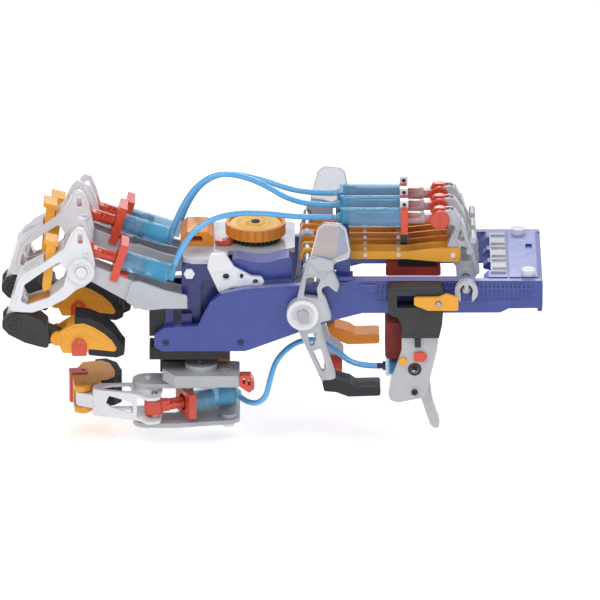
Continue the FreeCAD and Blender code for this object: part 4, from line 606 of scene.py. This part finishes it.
TIP_RIDGE = [(-12.4, -50.9), (-6.0, -47.2), (1.2, -46.4), (8.8, -49.5), (15.9, -54.3), (22.2, -60.2), (19.6, -62.4), (12.0, -57.6),
             (4.6, -54.4), (-5.4, -54.6), (-13.6, -55.8)]
PAD_EDGE = [(-4.5, -39.0), (5.5, -40.1), (16.4, -45.1), (25.0, -52.6), (30.4, -61.0), (33.2, -65.0)]
for i, f in FING.items():
    t = "finger_%d_" % i
    bm = bmesh.new()
    for s in (-1.0, 1.0):
        prism(bm, [(f[0] + x, f[2] + z) for x, z in TIP_RIDGE], f[1] + s * 10.8, f[1] + s * 11.55)
    add(t + "tip_ridges", bm, t + "tip_body", YELLOW, smooth=False, bevel=0.00035)
    # grip bars across the pad
    bm = bmesh.new()
    for (x0, z0), (x1, z1) in zip(PAD_EDGE, PAD_EDGE[1:]):
        d = Vector((x1 - x0, z1 - z0))
        n = max(1, int(d.length / 3.4))
        u = d.normalized()
        for k in range(n):
            c = Vector((x0, z0)) + d * ((k + 0.5) / n)
            o = Vector((-u.y, u.x))
            if o.dot(Vector((4.0, -57.0)) - c) > 0:
                o = -o
            q = [c - u * 0.7 - o * 0.3, c + u * 0.7 - o * 0.3, c + u * 0.5 + o * 0.5, c - u * 0.5 + o * 0.5]
            prism(bm, [(f[0] + v.x, f[2] + v.y) for v in q], f[1] - 9.4, f[1] + 9.4)
    add(t + "pad_bars", bm, t + "tip_body", PADR, smooth=False, bevel=0.0002)
    # stiffening ribs on the proximal cheeks
    bm = bmesh.new()
    for s in (-1.0, 1.0):
        ribs(bm, [[(f[0] - 9.5, f[2] + 22.0), (f[0] - 4.6, f[2] + 33.0), (f[0] + 1.2, f[2] + 32.6), (f[0] + 5.2, f[2] + 23.0)],
                  [(f[0] - 40.0, f[2] - 2.4), (f[0] - 46.6, f[2] - 9.6), (f[0] - 50.8, f[2] - 25.0)]], f[1] + s * 12.0, s, 0.9, 0.35)
    add(t + "cheek_ribs", bm, t + "proximal_body", WHITE, smooth=False, bevel=0.0002)

ROCKER_LINES = [[(114.9, 49.4), (115.8, 56.8), (118.5, 63.6), (122.4, 70.9)], [(114.9, 49.4), (121.4, 60.2), (118.5, 63.6)],
                [(121.4, 60.2), (122.0, 70.9)], [(114.9, 49.4), (123.2, 43.0)], [(121.4, 60.2), (123.4, 57.4)],
                [(123.2, 43.0), (123.4, 57.4)], [(123.2, 43.0), (122.9, 39.5)]]
for i, y in ROWS.items():
    bm = bmesh.new()
    for s in (-1.0, 1.0):
        ribs(bm, ROCKER_LINES, y + s * 5.0, s, 0.8, 0.45)
    add("rocker_%d_truss" % i, bm, "rocker_%d_body" % i, LGREY, smooth=False, bevel=0.00018)
    bm = bmesh.new()
    for s in (-1.0, 1.0):
        lathe(bm, W(108.4, y + s * 7.0, 79.0), (0, s, 0), [(7.1, -0.2), (7.1, 0.3), (6.6, 0.6), (5.4, 0.5), (5.2, 0.2), (1.6, 0.2), (1.5, 0.6), (0, 0.6)], n=44)
        prism(bm, [(107.9, 74.2), (108.9, 74.2), (108.9, 83.8), (107.9, 83.8)], y + s * 6.9, y + s * 7.5)
    add("rocker_%d_disc_faces" % i, bm, "rocker_%d_body" % i, RED, bevel=0.0001)

LEVER_LINES = [[(-6.2, 17.6), (-0.8, 25.4), (2.0, 38.0), (6.8, 55.8)], [(24.3, 49.2), (28.8, 38.4), (27.9, 33.6)],
               [(22.5, 10.4), (22.6, 13.5), (18.2, 26.8)], [(0.6, 0.2), (17.9, -41.3)], [(14.1, 4.6), (16.0, -4.4), (26.5, -38.9)],
               [(6.6, -15.4), (18.0, -13.6)], [(14.6, -36.6), (24.6, -33.4)], [(14.6, -36.6), (19.4, -39.8)], [(2.0, 26.3), (16.4, 25.4)], [(4.0, 44.2), (14.4, 47.6), (24.3, 49.2)],
               [(14.4, 47.6), (7.6, 56.0)], [(14.4, 47.6), (17.4, 43.2), (24.3, 49.2)]]
for i, s in ((1, -1.0), (3, 1.0)):
    bm = bmesh.new()
    ribs(bm, LEVER_LINES, s * 66.0, s, 0.9, 0.6)
    add("lever_%d_truss" % i, bm, "lever_%d_body" % i, LGREY, smooth=False, bevel=0.0002)
    # rim of the see-through head plate
    bm = bmesh.new()
    ribs(bm, [[(8.6, 61.4), (14.0, 83.2), (18.9, 87.0), (30.9, 86.2), (34.9, 82.6), (38.0, 65.6), (37.2, 59.4), (28.4, 56.6)]], s * 64.0, s, 0.8, 0.3)
    add("lever_%d_head_rim" % i, bm, "lever_%d_body" % i, WHITE, smooth=False, bevel=0.0002)

# toothed lower row of the rails, either side of the handle's travel
for nm, s in (("near", -1.0), ("far", 1.0)):
    bm = bmesh.new()
    xs = [58.8 + 3.3 * k for k in range(37)]
    for x in xs:
        prism(bm, [(x, 22.6), (x + 1.5, 22.6), (x + 1.5, 29.6), (x + 1.1, 31.2), (x + 0.3, 31.2), (x, 29.6)], s * 56.9, s * 58.1)
    add("rail_teeth_" + nm, bm, "frame", [BLUE, BLUE_PAINTED_TOP_LIGHT], smooth=False, bevel=0.00025)
    bm = bmesh.new()
    ribs(bm, [[(58.0, 21.6), (182.0, 21.6)], [(-104.0, -3.6), (-79.6, -2.2), (-75.0, 9.0), (-69.2, 19.6), (-61.6, 25.2), (-43.4, 29.2),
                                             (-8.0, 31.6), (34.6, 34.1)]], s * 57.0, s, 1.0, 0.35)
    add("arm_lines_" + nm, bm, "frame", BLUE, smooth=False, bevel=0.00025)
    bm = bmesh.new()
    for x, z in ((-104.0, -13.6), (-46.0, -13.4)):
        screw(bm, W(x, s * 57.0, z), (0, s, 0), 2.6, 0.7)
    add("arm_screws_" + nm, bm, "frame", NAVY)

# folded bracket: fold line, raised lower limb, slot lip
bm = bmesh.new()
ribs(bm, [[(-67.2, 41.6), (-52.0, 44.8)], [(-63.2, 29.6), (-61.2, 26.6), (-53.4, 31.0), (-44.4, 31.7), (-38.6, 32.0)],
          [(-48.0, 35.6), (-42.4, 35.6), (-42.4, 42.0), (-48.0, 42.6), (-48.0, 35.6)]], -50.0, -1.0, 0.8, 0.45)
lathe(bm, W(-34.4, -50.0, 34.3), (0, -1, 0), [(3.4, -0.1), (3.4, 0.4), (2.9, 0.7), (2.4, 0.7), (2.3, -0.1)], n=36)
lathe(bm, W(-57.3, -50.0, 38.6), (0, -1, 0), [(3.7, -0.1), (3.7, 0.35), (3.2, 0.6), (2.8, 0.6), (2.7, -0.1)], n=36)
add("bracket_details", bm, "frame", WHITE, smooth=False, bevel=0.0002)

# palm: ribs on the base
bm = bmesh.new()
for k in range(4):
    slab(bm, (-116.2 + 2.6 * k, -51.3, -28.5), (-115.0 + 2.6 * k, -50.7, -22.5))
add("base_plate_ribs", bm, "frame", BLACK, smooth=False, bevel=0.0002)

# slider block: inner lip round its window and a chamfer band
bm = bmesh.new()
ribs(bm, [[(70.4, 34.9), (108.0, 34.9)], [(78.9, -2.2), (107.0, -2.2)]], -72.0, -1.0, 0.7, 0.3)
add("slider_lines", bm, "handle_body", DGREY, smooth=False, bevel=0.0002)

# handle: socket lips, ring round the hole, screws
bm = bmesh.new()
screw(bm, W(88.9, -69.3, -50.2), (0, -1, 0), 2.5, 1.0)
lathe(bm, W(88.9, -67.9, -31.4), (0, -1, 0), [(5.2, -0.2), (5.2, 0.5), (4.6, 0.9), (3.9, 0.9), (3.5, 0.2), (3.5, -3.0)], n=44)
add("handle_ring", bm, "handle_body", BLACK)
bm = bmesh.new()
for zz in (-7.0, -10.6):
    slab(bm, (89.7, -70.5, zz - 0.8), (92.8, -70.1, zz + 0.8))
add("handle_socket_face", bm, "handle_body", DGREY, smooth=False, bevel=0.0002)

# lever bosses of levers 1 and 3: cap ring
for i, s in ((1, -1.0), (3, 1.0)):
    bm = bmesh.new()
    lathe(bm, W(2.3, s * 67.0, 12.9), (0, s, 0), [(12.3, -0.2), (12.3, 0.6), (11.6, 1.2), (9.6, 1.3), (9.2, 0.5), (6.6, 0.4), (6.4, -0.1)], n=56)
    add("lever_%d_boss_ring" % i, bm, "lever_%d_body" % i, WHITE)

# -------------------------------------------------------------- wrist cushion
def cushion(name, node, body, mat, lo, hi, crown, sub=2):
    """Crowned pad with pulled-in sides and a seam groove round the middle."""
    bm = bmesh.new()
    nx, ny, nz = 12, 16, 5
    grid = {}
    for i in range(nx + 1):
        for j in range(ny + 1):
            for k in range(nz + 1):
                if i in (0, nx) or j in (0, ny) or k in (0, nz):
                    u, v, w = i / nx * 2 - 1, j / ny * 2 - 1, k / nz * 2 - 1
                    pinch = 1.0 - 0.035 * (1 - abs(w)) * 0 - 0.05 * (abs(w) ** 3)
                    side = 1.0 - 0.03 * (1.0 - v * v) * (abs(u) ** 4)
                    x = (lo[0] + hi[0]) / 2 + (hi[0] - lo[0]) / 2 * u * pinch * side
                    y = (lo[1] + hi[1]) / 2 + (hi[1] - lo[1]) / 2 * v * pinch * (1.0 - 0.02 * (1 - u * u) * abs(v) ** 4)
                    dome = (1 - u ** 4) * (1 - v ** 4)
                    half = (hi[2] - lo[2]) / 2
                    z = (lo[2] + hi[2]) / 2 + w * half * (1 - crown + crown * dome)
                    if abs(w) < 0.25:
                        x += -0.5 * u * abs(u) ** 6
                        y += -0.5 * v * abs(v) ** 6
                    grid[i, j, k] = bm.verts.new(W(x, y, z))

    def quad(a, b, c, d):
        try:
            bm.faces.new([grid[q] for q in (a, b, c, d)])
        except ValueError:
            pass

    for i in range(nx):
        for j in range(ny):
            quad((i, j, 0), (i, j + 1, 0), (i + 1, j + 1, 0), (i + 1, j, 0))
            quad((i, j, nz), (i + 1, j, nz), (i + 1, j + 1, nz), (i, j + 1, nz))
    for i in range(nx):
        for k in range(nz):
            quad((i, 0, k), (i + 1, 0, k), (i + 1, 0, k + 1), (i, 0, k + 1))
            quad((i, ny, k), (i, ny, k + 1), (i + 1, ny, k + 1), (i + 1, ny, k))
    for j in range(ny):
        for k in range(nz):
            quad((0, j, k), (0, j, k + 1), (0, j + 1, k + 1), (0, j + 1, k))
            quad((nx, j, k), (nx, j + 1, k), (nx, j + 1, k + 1), (nx, j, k + 1))
    ob = add(name, bm, body, mat, sub=sub)
    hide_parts(node)
    return ob


FOAM = rubbery("dark_red_foam", (0.34, 0.030, 0.022), rough=0.7)
cushion("wrist_cushion", "wrist_pad", "frame", FOAM, (66.0, -26.0, 28.0), (110.0, 26.0, 38.5), 0.22)

# --------------------------------------------------------------------- stage
world = bpy.data.worlds.new("studio")
bpy.context.scene.world = world
world.use_nodes = True
bg = world.node_tree.nodes["Background"]
bg.inputs[0].default_value = (0.93, 0.95, 1.0, 1.0)
bg.inputs[1].default_value = 0.42


def area(name, loc, target, size, power, color=(1, 1, 1)):
    l = bpy.data.lights.new(name, "AREA")
    l.shape, l.size, l.size_y = "RECTANGLE", size[0], size[1]
    l.energy, l.color = power, color
    ob = bpy.data.objects.new(name, l)
    bpy.context.scene.collection.objects.link(ob)
    ob.location = Vector(loc)
    ob.rotation_euler = (Vector(target) - Vector(loc)).to_track_quat("-Z", "Y").to_euler()
    return ob


centre = W(0, 0, 0)
area("key", centre + Vector((-0.35, -0.55, 0.85)), centre, (0.7, 0.5), 4.6)
area("rim", centre + Vector((0.25, 0.75, 0.55)), centre, (0.9, 0.35), 5.2, (0.93, 0.95, 1.0))
area("fill", centre + Vector((0.6, -0.8, 0.25)), centre, (0.6, 0.6), 1.2)

bm = bmesh.new()
floor_z = cad_box[0][2] - 0.012
grid = [[bm.verts.new((x, y, floor_z)) for y in (-14.0, -4.0, 4.0, 14.0)] for x in (-14.0, -4.0, 4.0, 14.0)]
for i in range(3):
    for j in range(3):
        bm.faces.new((grid[i][j], grid[i + 1][j], grid[i + 1][j + 1], grid[i][j + 1]))
me = bpy.data.meshes.new("floor")
bmesh.ops.recalc_face_normals(bm, faces=bm.faces)
bm.to_mesh(me)
bm.free()
for p in me.polygons:
    p.use_smooth = True
floor = bpy.data.objects.new("floor", me)
bpy.context.scene.collection.objects.link(floor)
fm = moulded("pale_floor", (0.90, 0.90, 0.91), rough=0.6, var=0.01, coat=0.0, grain=0.02, edge=0.0, flow=0.02)
for node in fm.node_tree.nodes:
    if node.type == "BSDF_PRINCIPLED":
        node.inputs["Emission Color"].default_value = (1.0, 1.0, 1.0, 1.0)
        node.inputs["Emission Strength"].default_value = 0.42
me.materials.append(fm)

bpy.context.scene.view_settings.view_transform = "Standard"
bpy.context.scene.view_settings.look = "None"

bpy.context.view_layer.update()
